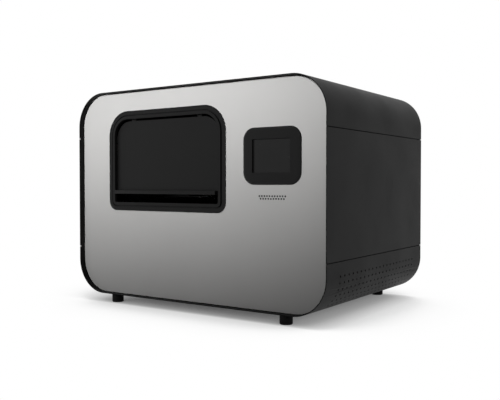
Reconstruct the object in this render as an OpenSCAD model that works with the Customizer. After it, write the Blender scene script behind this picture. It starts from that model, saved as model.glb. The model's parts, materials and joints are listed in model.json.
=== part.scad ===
// Braille embosser: a floor-standing office machine that embosses fan-fold paper.
// Millimetres. The floor is Z = 0, the front faces -Y, and X runs to the right as seen from the front.

/* [Casing] */
// Width of the casing
body_w = 880; // [840:5:940]
// Depth of the casing, front rim to rear rim
body_d = 645; // [640:5:720]
// Height of the casing above its feet
body_h = 617; // [605:1:660]
// Outer radius of the four long rounded edges
corner_r = 102; // [95:1:106]
// Thickness of the casing sheet
sheet_t = 2.5; // [2:0.1:3]
// Height of the lid, top to seam
lid_h = 138; // [125:1:145]
// Height of the bottom tray, underside to seam
tray_h = 140.5; // [130:0.5:150]
// Open seam between neighbouring casing panels
seam = 2; // [0.8:0.1:3]
// Setback of the front plate behind the rim
front_recess = 18; // [14:0.5:22]
// Setback of the rear panel behind the rim
rear_recess = 18; // [17:0.5:22]
// Clearance between the casing sheet and the plates inside it
edge_gap = 1.2; // [0.8:0.1:2]
// Thickness of the acoustic lid liner
liner_t = 12; // [8:1:25]

/* [Feet] */
// Height of a foot
foot_h = 27.5; // [20:0.5:40]
// Diameter of a foot
foot_d = 35; // [28:1:45]
// Distance of a foot from the middle of the machine
foot_x = 305; // [260:1:315]
// Distance of a foot from the front or rear rim
foot_inset = 32; // [26:1:60]

/* [Vents] */
// Diameter of a vent hole
vent_d = 6; // [4:0.5:8]
// Vent holes in a row
vent_cols = 21; // [9:1:25]
// Rows of vent holes round a lower edge
vent_rows = 6; // [3:1:7]
// Angle between rows, in degrees
vent_step = 10; // [8:1:11]
// Distance of a row's end holes from the rims
vent_margin = 75.5; // [50:0.5:110]

/* [Front plate and frames] */
// Thickness of the front plate
plate_t = 4; // [3:0.5:5]
// Thickness of the rear panel
rear_t = 2; // [1.5:0.1:3]
// Depth of the front and rear frames
frame_d = 14; // [10:1:18]
// Width of a frame's ring
ring_w = 28; // [22:1:34]
// Side of a square rail
rail_s = 20; // [16:1:24]
// Thickness of the base plate
base_t = 4; // [3:0.5:6]

/* [Hatch] */
// Width of the hatch bezel
hatch_w = 443; // [432:1:448]
// Height of the hatch bezel
hatch_h = 299.5; // [287:0.5:307]
// Centre of the hatch and of the mechanism behind it
hatch_x = -100; // [-104:1:-96]
// Bottom of the bezel above the casing's underside
hatch_z = 257.5; // [251:0.5:261]
// Radius of the bezel's top corners
hatch_rt = 75; // [65:1:85]
// Radius of the bezel's bottom corners
hatch_rb = 29; // [27:1:41]
// Total width of the bezel's section
bezel_w = 24.5; // [23:0.5:26]
// Width of the bezel's outer flange
flange_w = 12; // [11:0.5:13]
// Width of the groove inside the flange
groove_w = 4; // [3:0.5:5]
// Height of the flange above the plate
flange_rise = 3; // [2:0.5:4]
// Height of the inner ridge above the plate
ridge_rise = 5; // [4:0.5:7]
// Height of the paper slot under the flap
slot_h = 25.5; // [20:0.5:28]
// Thickness of the flap
flap_t = 4; // [3:0.5:5]
// Height of the flap's finger lip
lip_h = 11; // [8:0.5:14]
// Setback of the flap behind the ridge
flap_recess = 9.5; // [9.2:0.1:11]

/* [Display] */
// Width of the display bezel
pod_w = 178; // [170:1:190]
// Height of the display bezel
pod_h = 151; // [145:1:160]
// Corner radius of the display bezel
pod_r = 33; // [26:1:38]
// Centre of the display
pod_x = 270; // [262:1:280]
// Bottom of the display bezel above the casing's underside
pod_z = 335.5; // [332:0.5:340]
// Height of the display bezel above the plate
pod_rise = 8; // [6:0.5:10]
// Width of the bezel's sloped border
pod_slope = 11; // [8:0.5:13]
// Width of the screen window
screen_w = 116; // [108:1:120]
// Height of the screen window
screen_h = 87.5; // [82:0.5:92]

/* [Speaker] */
// Speaker holes in the upper row
spk_cols = 11; // [7:1:13]
// Pitch of the speaker holes
spk_pitch = 8; // [7:0.5:9]
// Diameter of a speaker hole
spk_d = 5; // [3.5:0.5:5.5]
// Upper row of holes above the casing's underside
spk_z = 305.5; // [303:0.5:308]

/* [Lid hinge] */
// Distance of a hinge from the middle of the machine
hinge_x = 250; // [180:5:300]
// Length of a hinge
hinge_l = 90; // [70:2:120]
// Radius of a hinge knuckle
knuckle_r = 5; // [4:0.5:5.5]
// Thickness of a hinge leaf
leaf_t = 3; // [2:0.5:3.5]
// Radius of a hinge pin
pin_r = 2; // [1.5:0.1:2.5]

/* [Mechanism frame] */
// Clear width between the mechanism plates
mech_w = 450; // [446:1:452]
// Thickness of a mechanism plate
mech_t = 5; // [4:0.5:6]
// Height of the paper above the floor
paper_z = 319; // [318:0.5:320]
// Front edge of the mechanism plates
mech_y0 = -245; // [-250:1:-240]
// Rear edge of the mechanism plates
mech_y1 = 175; // [172:1:185]
// Top of the mechanism plates above the floor
mech_top = 470; // [450:1:500]

/* [Tractors] */
// Line of the tractor shaft
drive_y = -150; // [-152:1:-148]
// Centre distance of the two tractor shafts
tractor_cc = 55; // [54:1:58]
// Inner radius of the pin belt's ends
belt_r = 21; // [20:0.5:22]
// Side of the square tractor shaft
shaft_s = 12; // [11:0.5:13]
// Distance of a tractor from the middle of the paper
tractor_x = 165; // [160:1:170]
// Width of a tractor's body
tractor_w = 26; // [24:1:28]
// Pitch of the tractor pins
pin_pitch = 12.7; // [11:0.1:13]

/* [Embossing head] */
// Line of the front guide rod
rod_y = 0; // [-4:1:4]
// Centre distance of the guide rods
rod_cc = 80; // [76:1:84]
// Height of the guide rods above the paper
rod_rise = 81; // [76:1:90]
// Radius of a guide rod
rod_r = 8; // [7:0.5:9]
// Width of the carriage
carriage_w = 100; // [96:1:110]
// Middle of the parked carriage, left of the middle of the paper
park_x = 145; // [140:1:150]
// Spacing of the embossing dots
dot_pitch = 2.5; // [2.2:0.1:2.8]
// Radius of an embossing pin
dot_r = 0.8; // [0.6:0.1:0.9]

/* [Electronics] */
// Side of the fan
fan_s = 120; // [100:5:130]
// Centre of the fan, right of the middle
fan_x = 300; // [290:5:310]
// Height of the fan's centre above the floor
fan_z = 440; // [400:5:460]
// Centre of the mains inlet, right of the middle
inlet_x = 350; // [340:1:360]
// Height of the mains inlet above the floor
inlet_z = 150; // [140:1:170]

/* [Hidden] */
$fn = 48;

// Colours
casing_black = [0.11, 0.11, 0.12];
trim_black = [0.08, 0.08, 0.09];
silver = [0.78, 0.77, 0.75];
steel = [0.62, 0.63, 0.65];
zinc = [0.70, 0.71, 0.70];
rubber_black = [0.05, 0.05, 0.05];

// Clearances
run_fit = 0.05;
free_gap = 0.3;
hinge_gap = 0.5;
lid_rest = 0.1;

// Casing levels
z0 = foot_h;
z_top = z0 + body_h;
z_lid = z_top - lid_h;
z_tray = z0 + tray_h;
y_front = -body_d / 2;
y_rear = body_d / 2;
lid_in = z_top - sheet_t;
plate_inset = sheet_t + edge_gap;
plate_y = y_front + front_recess;
plate_back = plate_y + plate_t;
rear_y = y_rear - rear_recess;
rear_in = rear_y - rear_t;
frame_y0 = plate_back + frame_d;
frame_y1 = rear_in - frame_d;
base_top = z0 + sheet_t + base_t;
flat_x = body_w / 2 - corner_r;
strip_gap = 0.2;
strip_h = 7;
strip_end = 3;
rear_joint = 0.8;

// Hatch
hatch_bottom = z0 + hatch_z;
open_w = hatch_w - 2 * bezel_w;
open_bottom = hatch_bottom + bezel_w;
open_top = hatch_bottom + hatch_h - bezel_w;
ridge_y = plate_y - ridge_rise;
floor_back = plate_back;
floor_t = 3;
flap_y = ridge_y + flap_recess;
flap_gap = 1.5;
flap_ease = 3;
barrel_r = 2.4;
barrel_drop = 3;
flap_drop = 6;
flap_axis_y = flap_y + flap_t / 2;
flap_axis_z = open_top - barrel_drop;
flap_bottom = open_bottom + slot_h;
flap_top = open_top - flap_drop;
flap_pin_r = 1.2;
flap_knuckle_l = 8;
flap_lug_l = 3.5;
flap_hinge_x = 126;
lip_reach = 7;
lip_inset = 4;

// Display and speaker
pod_bottom = z0 + pod_z;
screen_lip = 3;
screen_depth = 6;
screen_y = plate_y - pod_rise + screen_depth;
screen_zc = pod_bottom + pod_h / 2;
screen_back = 16;
spk_zc = z0 + spk_z - spk_pitch * sin(60) / 2;
spk_case = [spk_cols * spk_pitch + 12, 40];
spk_rim = 4;
grille_t = 0.8;

// Lid hinge
axis_y = rear_y + rear_recess / 2;
axis_z = lid_in - leaf_t - knuckle_r - hinge_gap;
lid_knuckle_l = hinge_l * 0.25;
leaf_drop = 45;

// Mechanism frame
mech_xl = hatch_x - mech_w / 2;
mech_xr = hatch_x + mech_w / 2;
mech_flange = 30;
bush_r = 10;
bush_flange = 14;

// Tractors
idle_y = drive_y - tractor_cc;
pin_belt_t = 2;
shaft_z = paper_z - belt_r - pin_belt_t;
belt_w = 6;
belt_bay = belt_w + 2;
journal_r = shaft_s / 2;
hub_r = shaft_s * 0.75 + 1.5;
cheek_r = belt_r + 1;
tractor_pin_r = 1.8;
tractor_pin_h = 4;
gate_axis_out = tractor_w / 2 + 3;
gate_axis_z = paper_z + 2.5;
gate_barrel_r = 3;
gate_stub_r = 1.5;
gate_t = 6;
gate_len = tractor_cc + 2 * belt_r - 8;
gate_mid = idle_y + tractor_cc / 2;
gate_barrel_l = 46;
gate_lug_l = 10;
lever_t = 6;
lever_r = 11;
lever_len = 34;
lever_rest = 45;
left_tx = hatch_x - tractor_x;
right_tx = hatch_x + tractor_x;

// Feed drive
motor_s = 57;
motor_l = 76;
motor_back = 80;
motor_drop = 96;
motor_y = drive_y + motor_back;
motor_z = shaft_z - motor_drop;
pulley_w = 16;
pulley_big = 26;
pulley_small = 13;
pulley_x = mech_xr + mech_t + 5;
spindle_r = 4;
drive_belt_t = 2;

// Embossing head
rod_z = paper_z + rod_rise;
rod_y2 = rod_y + rod_cc;
head_y = rod_y + rod_cc / 2;
carriage_x = hatch_x - park_x;
carriage_h = 30;
carriage_top = rod_z + carriage_h / 2;
carriage_y0 = rod_y - 20;
carriage_y1 = rod_y2 + 20;
nose_w = 60;
nose_d = 40;
nose_z = paper_z + 3;
dot_rows = 3;
dot_cols = 2;
pin_tip_z = paper_z + 1;
pin_block_z = nose_z + 4;
pin_block_t = 3;
pin_cavity_h = 8;
solenoid_r = 12;
solenoid_h = 45;
solenoid_step = [30, 16];
plunger_r = 4;
plunger_h = 6;
anvil_top = paper_z - 0.5;
anvil_d = 60;
anvil_h = 38;

// Carriage drive
timing_r = 14;
timing_t = 1.5;
timing_w = 10;
timing_y = carriage_y1 + 7;
timing_flange = 17;
drive_x = mech_xr - 30;
idler_x = mech_xl + 25;
bracket_y = timing_y + timing_w + 8;
bracket_t = 5;
step_l = 60;
idler_axle_r = 4;
spindle_small = 3;

// Paper guides
guide_t = 2;
guide_w = open_w + 2;
infeed_drop = 24;
outfeed_drop = 45;
infeed_z = paper_z - 6;
outfeed_z = open_bottom - 1;
outfeed_y = idle_y - belt_r - 10;
inlet_slot_h = 32;

// Electronics
fan_t = 25;
fan_post = 18;
fan_post_gap = 0.5;
fan_bore = fan_s / 2 - 3;
rotor_r = fan_bore - 2;
fan_hub_r = 20;
module_w = 32;
module_h = 78;
rocker_w = 13;
rocker_h = 21;
rocker_tilt = 8;
ports_step = 100;
ports_x = inlet_x - ports_step;
ports_w = 96;
ports_h = 30;
ports_d = 22;
port_depth = 12;
// Each port's place along the block, width and height
ports = [[-32, 12, 11], [-2, 16, 14], [30, 28, 9]];
bay_x = flat_x - 8;
psu_w = 140;
psu_d = 210;
psu_h = 70;
psu_y = 40;
psu_slots = 8;
psu_t = 3;
board_w = 140;
board_d = 220;
board_y = -230;
board_rise = 14;
pcb_t = 2;
chip_s = 28;
cap_r = 9;
cap_h = 28;
guard_w = 2.4;
guard_t = 2;
guard_rings = 5;
guard_lift = 4;
eyelet_r = 5;

// 2-D shapes

module rrect(w, h, r) {
    square([w, h - 2 * r], center = true);
    square([w - 2 * r, h], center = true);
    for (sx = [-1, 1], sy = [-1, 1])
        translate([sx * (w / 2 - r), sy * (h / 2 - r)])
            circle(r);
}

// Rounded panel with its own radius at the top and at the bottom, standing on y = 0
module arch(w, h, rt, rb) {
    translate([-w / 2, rb])
        square([w, h - rt - rb]);
    translate([-w / 2 + rb, 0])
        square([w - 2 * rb, h / 2]);
    translate([-w / 2 + rt, h / 2])
        square([w - 2 * rt, h / 2]);
    for (s = [-1, 1]) {
        translate([s * (w / 2 - rb), rb])
            circle(rb);
        translate([s * (w / 2 - rt), h - rt])
            circle(rt);
    }
}

module stadium(cc, r) {
    circle(r);
    translate([cc, 0])
        circle(r);
    translate([0, -r])
        square([cc, 2 * r]);
}

// Cross-section of the casing, set in by an amount
module outline(inset) {
    translate([0, z0 + body_h / 2])
        rrect(body_w - 2 * inset, body_h - 2 * inset, corner_r - inset);
}

module casing_ring() {
    difference() {
        outline(0);
        outline(sheet_t);
    }
}

module band(z_a, z_b) {
    translate([-body_w, z_a])
        square([2 * body_w, z_b - z_a]);
}

// Outline of the hatch bezel, set in by an amount
module hatch_outline(inset) {
    translate([hatch_x, hatch_bottom + inset])
        arch(hatch_w - 2 * inset, hatch_h - 2 * inset, hatch_rt - inset, max(hatch_rb - inset, 1));
}

module hatch_ring(outer, inner) {
    difference() {
        hatch_outline(outer);
        hatch_outline(inner);
    }
}

// 3-D helpers

module along_y(y_a, y_b) {
    translate([0, y_b, 0])
        rotate([90, 0, 0])
            linear_extrude(y_b - y_a)
                children();
}

module along_x(x_a, x_b) {
    translate([x_a, 0, 0])
        rotate([90, 0, 90])
            linear_extrude(x_b - x_a)
                children();
}

module block(x, y, z) {
    translate([x[0], y[0], z[0]])
        cube([x[1] - x[0], y[1] - y[0], z[1] - z[0]]);
}

module rod_x(x, y, z, r) {
    translate([x[0], y, z])
        rotate([0, 90, 0])
            cylinder(r = r, h = x[1] - x[0]);
}

module rod_along_y(x, y, z, r) {
    translate([x, y[1], z])
        rotate([90, 0, 0])
            cylinder(r = r, h = y[1] - y[0]);
}

function spread(mid, size) = [mid - size / 2, mid + size / 2];

// Casing

module lid_cover() {
    color(casing_black)
        along_y(y_front, y_rear)
            intersection() {
                casing_ring();
                band(z_lid + seam / 2, z_top + 1);
            }
}

module lid_liner() {
    color(rubber_black)
        block([-flat_x + 8, flat_x - 8], [frame_y0 + 12, frame_y1 - 20], [lid_in - liner_t, lid_in]);
}

// Thin strip on the inside of a side panel that closes the seam over or under it
module seam_strip(side, z_edge, up) {
    x_out = body_w / 2 - sheet_t;
    x = [x_out - edge_gap + strip_gap, x_out - strip_gap];
    y = [y_front + strip_end, y_rear - strip_end];
    reach = up * (seam + strip_h);
    root = -up * strip_h;
    mirror([side > 0 ? 0 : 1, 0, 0]) {
        block(x, y, [z_edge + min(reach, root), z_edge + max(reach, root)]);
        block([x[0], x_out + 0.1], y, [z_edge + min(0, root), z_edge + max(0, root)]);
    }
}

module side_panel(side) {
    color(casing_black)
        union() {
            along_y(y_front, y_rear)
                intersection() {
                    casing_ring();
                    band(z_tray + seam / 2, z_lid - seam / 2);
                    translate([side > 0 ? 0 : -body_w, z0])
                        square([body_w, body_h]);
                }
            seam_strip(side, z_lid - seam / 2, 1);
            seam_strip(side, z_tray + seam / 2, -1);
        }
}

module left_side_panel() {
    side_panel(-1);
}

module right_side_panel() {
    side_panel(1);
}

module vent_holes(side) {
    pitch = (body_d - 2 * vent_margin) / (vent_cols - 1);
    for (row = [0 : vent_rows - 1], col = [0 : vent_cols - 1])
        translate([side * flat_x, y_front + vent_margin + col * pitch, z0 + corner_r])
            rotate([0, side * (90 + row * vent_step), 0])
                translate([0, 0, corner_r - 2 * sheet_t])
                    cylinder(d = vent_d, h = 3 * sheet_t, $fn = 16);
}

module bottom_tray() {
    color(casing_black)
        difference() {
            along_y(y_front, y_rear)
                intersection() {
                    casing_ring();
                    band(z0 - 1, z_tray - seam / 2);
                }
            vent_holes(1);
            vent_holes(-1);
        }
}

module feet() {
    chamfer = 2;
    color(rubber_black)
        for (sx = [-1, 1], sy = [-1, 1])
            translate([sx * foot_x, sy * (body_d / 2 - foot_inset), 0])
                rotate_extrude()
                    polygon([
                        [0, 0], [foot_d / 2 - chamfer, 0], [foot_d / 2, chamfer],
                        [foot_d / 2, foot_h], [0, foot_h]
                    ]);
}

module frame_ring(y_a, y_b) {
    color(zinc)
        along_y(y_a, y_b)
            difference() {
                outline(plate_inset);
                outline(plate_inset + ring_w);
            }
}

module front_frame() {
    frame_ring(plate_back, frame_y0);
}

module rear_frame() {
    frame_ring(frame_y1, rear_in);
}

module side_rails() {
    wall = 2;
    x_in = body_w / 2 - sheet_t;
    color(zinc)
        for (side = [-1, 1], z = [z_tray + rail_s, z_lid - rail_s])
            along_y(frame_y0, frame_y1)
                translate([side * (x_in - rail_s / 2), z])
                    difference() {
                        square(rail_s, center = true);
                        square(rail_s - 2 * wall, center = true);
                    }
}

module base_plate() {
    color(zinc)
        block([-flat_x + 2, flat_x - 2], [frame_y0, frame_y1], [z0 + sheet_t, base_top]);
}

module lid_bumpers() {
    color(rubber_black)
        for (side = [-1, 1])
            block(
                spread(side * flat_x / 2, 60), [plate_back, frame_y0],
                [z_top - plate_inset, lid_in - lid_rest]
            );
}

// Lid hinge

module lid_hinge_leaves() {
    color(steel)
        for (side = [-1, 1])
            difference() {
                union() {
                    block(
                        spread(side * hinge_x, hinge_l), [rear_y + 2, y_rear - 2], [lid_in - leaf_t, lid_in]
                    );
                    for (end = [-1, 1]) {
                        x = spread(side * hinge_x + end * (hinge_l - lid_knuckle_l) / 2, lid_knuckle_l);
                        rod_x(x, axis_y, axis_z, knuckle_r);
                        block(x, spread(axis_y, knuckle_r), [axis_z, lid_in - leaf_t / 2]);
                    }
                }
                rod_x(spread(side * hinge_x, hinge_l + 2), axis_y, axis_z, pin_r + run_fit);
            }
}

module rear_hinge_leaves() {
    mid = hinge_l - 2 * lid_knuckle_l - 2 * hinge_gap;
    color(steel)
        for (side = [-1, 1])
            difference() {
                union() {
                    block(
                        spread(side * hinge_x, hinge_l), [rear_y, rear_y + leaf_t],
                        [axis_z - leaf_drop, axis_z]
                    );
                    rod_x(spread(side * hinge_x, mid), axis_y, axis_z, knuckle_r);
                    block(spread(side * hinge_x, mid), [rear_y + 1, axis_y], spread(axis_z - 2, 4));
                }
                rod_x(spread(side * hinge_x, hinge_l), axis_y, axis_z, pin_r + run_fit);
            }
}

module lid_hinge_pins() {
    color(steel)
        for (side = [-1, 1])
            rod_x(spread(side * hinge_x, hinge_l), axis_y, axis_z, pin_r);
}

// Front plate, hatch, display and speaker

module speaker_holes() {
    for (row = [0, 1], i = [0 : spk_cols - 1 - row])
        translate([
            pod_x + (i - (spk_cols - 1 - row) / 2) * spk_pitch,
            z0 + spk_z - row * spk_pitch * sin(60)
        ])
            circle(d = spk_d, $fn = 16);
}

// Space in front of the speaker cone, seen from the front
module speaker_mouth() {
    translate([pod_x, spk_zc])
        rrect(spk_case[0] - 2 * spk_rim, spk_case[1] - 2 * spk_rim, 6);
}

module front_plate() {
    color(silver)
        difference() {
            along_y(plate_y, plate_back)
                difference() {
                    outline(plate_inset);
                    hatch_outline(flange_w - 2);
                    translate([pod_x, screen_zc])
                        square([screen_w + 2 * screen_lip + 1, screen_h + 2 * screen_lip + 1], center = true);
                    speaker_holes();
                }
            along_y(plate_y + grille_t, plate_back + 1)
                speaker_mouth();
        }
}

module flap_lug(x) {
    y = spread(flap_axis_y, 2 * barrel_r - 0.8);
    rod_x(x, flap_axis_y, flap_axis_z, barrel_r);
    block(x, y, [flap_axis_z, open_top + 4]);
    block(x, [floor_back - floor_t, y[1]], [open_top + 0.5, open_top + 4]);
}

module hatch_bezel() {
    spigot = flange_w - 2 + free_gap;
    color(trim_black)
        difference() {
            union() {
                along_y(plate_y - flange_rise, plate_y)
                    hatch_ring(0, flange_w);
                along_y(plate_y - flange_rise, floor_back)
                    hatch_ring(spigot, flange_w);
                along_y(floor_back - floor_t, floor_back)
                    hatch_ring(spigot, bezel_w);
                along_y(ridge_y, floor_back)
                    hatch_ring(flange_w + groove_w, bezel_w);
                for (side = [-1, 1], end = [-1, 1])
                    flap_lug(spread(
                        hatch_x + side * flap_hinge_x
                            + end * (flap_knuckle_l / 2 + flap_lug_l / 2 + hinge_gap),
                        flap_lug_l
                    ));
            }
            rod_x(spread(hatch_x, open_w), flap_axis_y, flap_axis_z, flap_pin_r + run_fit);
        }
}

module hatch_flap() {
    w = open_w - 2 * flap_gap;
    lip_w = w - 2 * lip_inset;
    lip_y = ridge_y - lip_reach;
    lip_r = 2;
    color(trim_black)
        difference() {
            union() {
                along_y(flap_y, flap_y + flap_t)
                    translate([hatch_x, flap_bottom])
                        arch(w, flap_top - flap_bottom, hatch_rt - bezel_w + flap_ease, 1);
                along_x(hatch_x - lip_w / 2, hatch_x + lip_w / 2) {
                    translate([lip_y + lip_r, flap_bottom])
                        square([flap_y - lip_y - lip_r + 1, lip_h]);
                    translate([lip_y, flap_bottom + lip_r])
                        square([lip_r + 1, lip_h - 2 * lip_r]);
                    for (z = [flap_bottom + lip_r, flap_bottom + lip_h - lip_r])
                        translate([lip_y + lip_r, z])
                            circle(lip_r);
                }
                for (side = [-1, 1]) {
                    x = spread(hatch_x + side * flap_hinge_x, flap_knuckle_l);
                    rod_x(x, flap_axis_y, flap_axis_z, barrel_r);
                    block(x, spread(flap_axis_y, 2 * barrel_r - 0.8), [flap_top - 1, flap_axis_z]);
                }
            }
            rod_x(spread(hatch_x, open_w), flap_axis_y, flap_axis_z, flap_pin_r + run_fit);
        }
}

module hatch_hinge_pins() {
    color(steel)
        for (side = [-1, 1])
            rod_x(
                spread(hatch_x + side * flap_hinge_x, flap_knuckle_l + 2 * flap_lug_l),
                flap_axis_y, flap_axis_z, flap_pin_r
            );
}

module pod_slab(inset, y_a, y_b) {
    along_y(y_a, y_b)
        translate([pod_x, screen_zc])
            rrect(pod_w - 2 * inset, pod_h - 2 * inset, pod_r - inset);
}

module display_bezel() {
    edge = 2;
    face_y = plate_y - pod_rise;
    color(trim_black)
        difference() {
            hull()
                for (a = [0 : 18 : 90])
                    pod_slab(
                        pod_slope * (1 - cos(a)), plate_y - edge - (pod_rise - edge) * sin(a), plate_y
                    );
            along_y(face_y - 1, plate_y + 1)
                translate([pod_x, screen_zc])
                    square([screen_w, screen_h], center = true);
            along_y(screen_y, plate_y + 1)
                translate([pod_x, screen_zc])
                    square([screen_w + 2 * screen_lip + 0.4, screen_h + 2 * screen_lip + 0.4], center = true);
        }
}

module touch_screen() {
    color([0.12, 0.12, 0.13])
        along_y(screen_y, plate_back + screen_back)
            translate([pod_x, screen_zc])
                square([screen_w + 2 * screen_lip, screen_h + 2 * screen_lip], center = true);
}

module speaker() {
    d = 12;
    case_r = 8;
    mouth_d = 4;
    magnet_r = 16;
    magnet_l = 14;
    color([0.16, 0.16, 0.17])
        difference() {
            union() {
                along_y(plate_back, plate_back + d)
                    translate([pod_x, spk_zc])
                        rrect(spk_case[0], spk_case[1], case_r);
                rod_along_y(pod_x, [plate_back + d - 1, plate_back + d + magnet_l], spk_zc, magnet_r);
            }
            along_y(plate_back - 1, plate_back + mouth_d)
                speaker_mouth();
        }
}

// Rear panel and its connections

module rear_sheet(x, z) {
    along_y(rear_in, rear_y)
        difference() {
            intersection() {
                outline(plate_inset);
                translate([x[0], z[0]])
                    square([x[1] - x[0], z[1] - z[0]]);
            }
            children();
        }
}

// Three sheets round the paper slot: over it, under it, and the connector panel beside it
module rear_panel() {
    edge = body_w / 2;
    slot_x = spread(hatch_x, guide_w);
    slot_z = spread(paper_z, inlet_slot_h);
    joint_z = slot_z[1] - rear_joint;
    color(casing_black) {
        rear_sheet([-edge, edge], [slot_z[1], z_top])
            translate([fan_x, fan_z])
                circle(rotor_r);
        rear_sheet([-edge, slot_x[1]], [z0, joint_z])
            translate([slot_x[0], slot_z[0]])
                square([guide_w + 1, inlet_slot_h]);
        rear_sheet([slot_x[1] + rear_joint, edge], [z0, joint_z]) {
            translate([inlet_x, inlet_z])
                square([module_w - 4 + 1, module_h - 4 + 1], center = true);
            translate([ports_x, inlet_z])
                square([ports_w + 1, ports_h + 1], center = true);
        }
    }
}

module power_inlet() {
    body_back = rear_in - 28;
    socket_z = inlet_z - 16;
    rocker_z = inlet_z + 22;
    color(trim_black)
        difference() {
            union() {
                along_y(rear_y, rear_y + 3)
                    translate([inlet_x, inlet_z])
                        rrect(module_w, module_h, 3);
                block(spread(inlet_x, module_w - 4), [body_back, rear_y + 1], spread(inlet_z, module_h - 4));
            }
            block(spread(inlet_x, 24), [rear_y - 14, rear_y + 4], spread(socket_z, 17));
            block(spread(inlet_x, rocker_w + 1), [rear_y - 12, rear_y + 4], spread(rocker_z, rocker_h + 3));
            rod_x(spread(inlet_x, rocker_w + 5), rear_y - 3, rocker_z, 1.5 + run_fit);
        }
    color(steel)
        for (dx = [-7, 0, 7])
            block(
                spread(inlet_x + dx, 2), [rear_y - 15, rear_y - 3],
                spread(socket_z + (dx == 0 ? 3 : -1), 6)
            );
}

module power_switch() {
    rocker_z = inlet_z + 22;
    color([0.06, 0.06, 0.06])
        translate([inlet_x, rear_y - 3, rocker_z])
            rotate([-rocker_tilt, 0, 0]) {
                rotate([90, 0, 90])
                    translate([0, 0, -rocker_w / 2])
                        linear_extrude(rocker_w)
                            polygon([
                                [-4, -5], [-4, 5], [0, rocker_h / 2], [6, rocker_h / 2], [4, 0],
                                [6, -rocker_h / 2], [0, -rocker_h / 2]
                            ]);
                rod_x(spread(0, rocker_w + 4), 0, 0, 1.5);
            }
}

module data_ports() {
    color([0.30, 0.31, 0.32])
        difference() {
            block(spread(ports_x, ports_w), [rear_in - ports_d, rear_y + 1], spread(inlet_z, ports_h));
            for (port = ports)
                block(
                    spread(ports_x + port[0], port[1]), [rear_y - port_depth, rear_y + 2],
                    spread(inlet_z, port[2])
                );
        }
}

// Mechanism frame

module mech_profile() {
    slope = 60;
    difference() {
        polygon([
            [mech_y0, base_top], [mech_y0, paper_z], [mech_y0 + slope, paper_z + slope],
            [rod_y - slope, mech_top], [mech_y1 - slope, mech_top], [mech_y1, mech_top - slope],
            [mech_y1, base_top]
        ]);
        for (y = [drive_y, rod_y2])
            translate([y, (base_top + shaft_z) / 2 - 40])
                circle(38);
    }
}

module mech_plate(x_a, x_b, flange_a, flange_b) {
    color(zinc)
        difference() {
            union() {
                along_x(x_a, x_b)
                    mech_profile();
                block([flange_a, flange_b], [mech_y0, mech_y1], [base_top, base_top + mech_t]);
            }
            for (y = [drive_y, idle_y])
                rod_x([x_a - 1, x_b + 1], y, shaft_z, bush_r + run_fit);
            for (y = [rod_y, rod_y2])
                rod_x([x_a - 1, x_b + 1], y, rod_z, rod_r + run_fit);
            rod_x([mech_xr - 1, mech_xr + mech_t + 1], motor_y, motor_z, 19 + run_fit);
        }
}

module left_mech_plate() {
    mech_plate(mech_xl - mech_t, mech_xl, mech_xl - mech_t, mech_xl + mech_flange);
}

module right_mech_plate() {
    mech_plate(mech_xr, mech_xr + mech_t, mech_xr - mech_flange, mech_xr + mech_t);
}

module shaft_bushes() {
    color([0.72, 0.55, 0.28])
        for (side = [-1, 1], y = [drive_y, idle_y])
            difference() {
                union() {
                    rod_x(spread(hatch_x + side * (mech_w + mech_t) / 2, mech_t), y, shaft_z, bush_r);
                    rod_x(spread(hatch_x + side * (mech_w / 2 - 1), 2), y, shaft_z, bush_flange);
                }
                rod_x(spread(hatch_x + side * mech_w / 2, 4 * mech_t), y, shaft_z, journal_r + run_fit);
            }
}

// Paper feed

module tractor_shaft() {
    color(steel)
        union() {
            along_x(mech_xl + 4, mech_xr - 4)
                translate([drive_y, shaft_z])
                    square(shaft_s, center = true);
            rod_x([mech_xl - mech_t - 4, pulley_x + pulley_w + 4], drive_y, shaft_z, journal_r);
        }
}

module support_shaft() {
    color(steel)
        rod_x([mech_xl - mech_t - 4, mech_xr + mech_t + 4], idle_y, shaft_z, journal_r);
}

// A tractor is drawn with its gate hinge on its outer side: -1 is left, 1 is right
module tractor(x, side) {
    cheek_w = (tractor_w - belt_bay) / 2;
    core_y = idle_y + belt_r - 8;
    lug_in = tractor_w / 2 - 1;
    color([0.20, 0.22, 0.25])
        difference() {
            union() {
                for (s = [-1, 1]) {
                    cheek = spread(x + s * (tractor_w - cheek_w) / 2, cheek_w);
                    along_x(cheek[0], cheek[1])
                        translate([idle_y, shaft_z])
                            stadium(tractor_cc, cheek_r);
                }
                rod_x(spread(x, tractor_w - 1), idle_y, shaft_z, belt_r - free_gap);
                block(spread(x, tractor_w - 1), [idle_y, core_y + belt_r], spread(shaft_z, belt_r));
                for (end = [-1, 1]) {
                    y = spread(gate_mid + end * (gate_barrel_l + gate_lug_l + 2 * hinge_gap) / 2, gate_lug_l);
                    xs = side > 0 ? [x + lug_in, x + gate_axis_out + 1] : [x - gate_axis_out - 1, x - lug_in];
                    block(xs, y, [gate_axis_z - 12, gate_axis_z]);
                    rod_along_y(x + side * gate_axis_out, y, gate_axis_z, gate_barrel_r);
                }
            }
            rod_x(spread(x, tractor_w + 2), drive_y, shaft_z, hub_r + free_gap);
            rod_x(spread(x, belt_bay), drive_y, shaft_z, belt_r - free_gap + 0.8);
            rod_x(spread(x, tractor_w + 2), idle_y, shaft_z, journal_r + run_fit);
            rod_along_y(
                x + side * gate_axis_out, spread(gate_mid, gate_barrel_l + 2 * gate_lug_l + 4),
                gate_axis_z, gate_stub_r + run_fit
            );
        }
}

module left_tractor() {
    tractor(left_tx, -1);
}

module right_tractor() {
    tractor(right_tx, 1);
}

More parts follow.
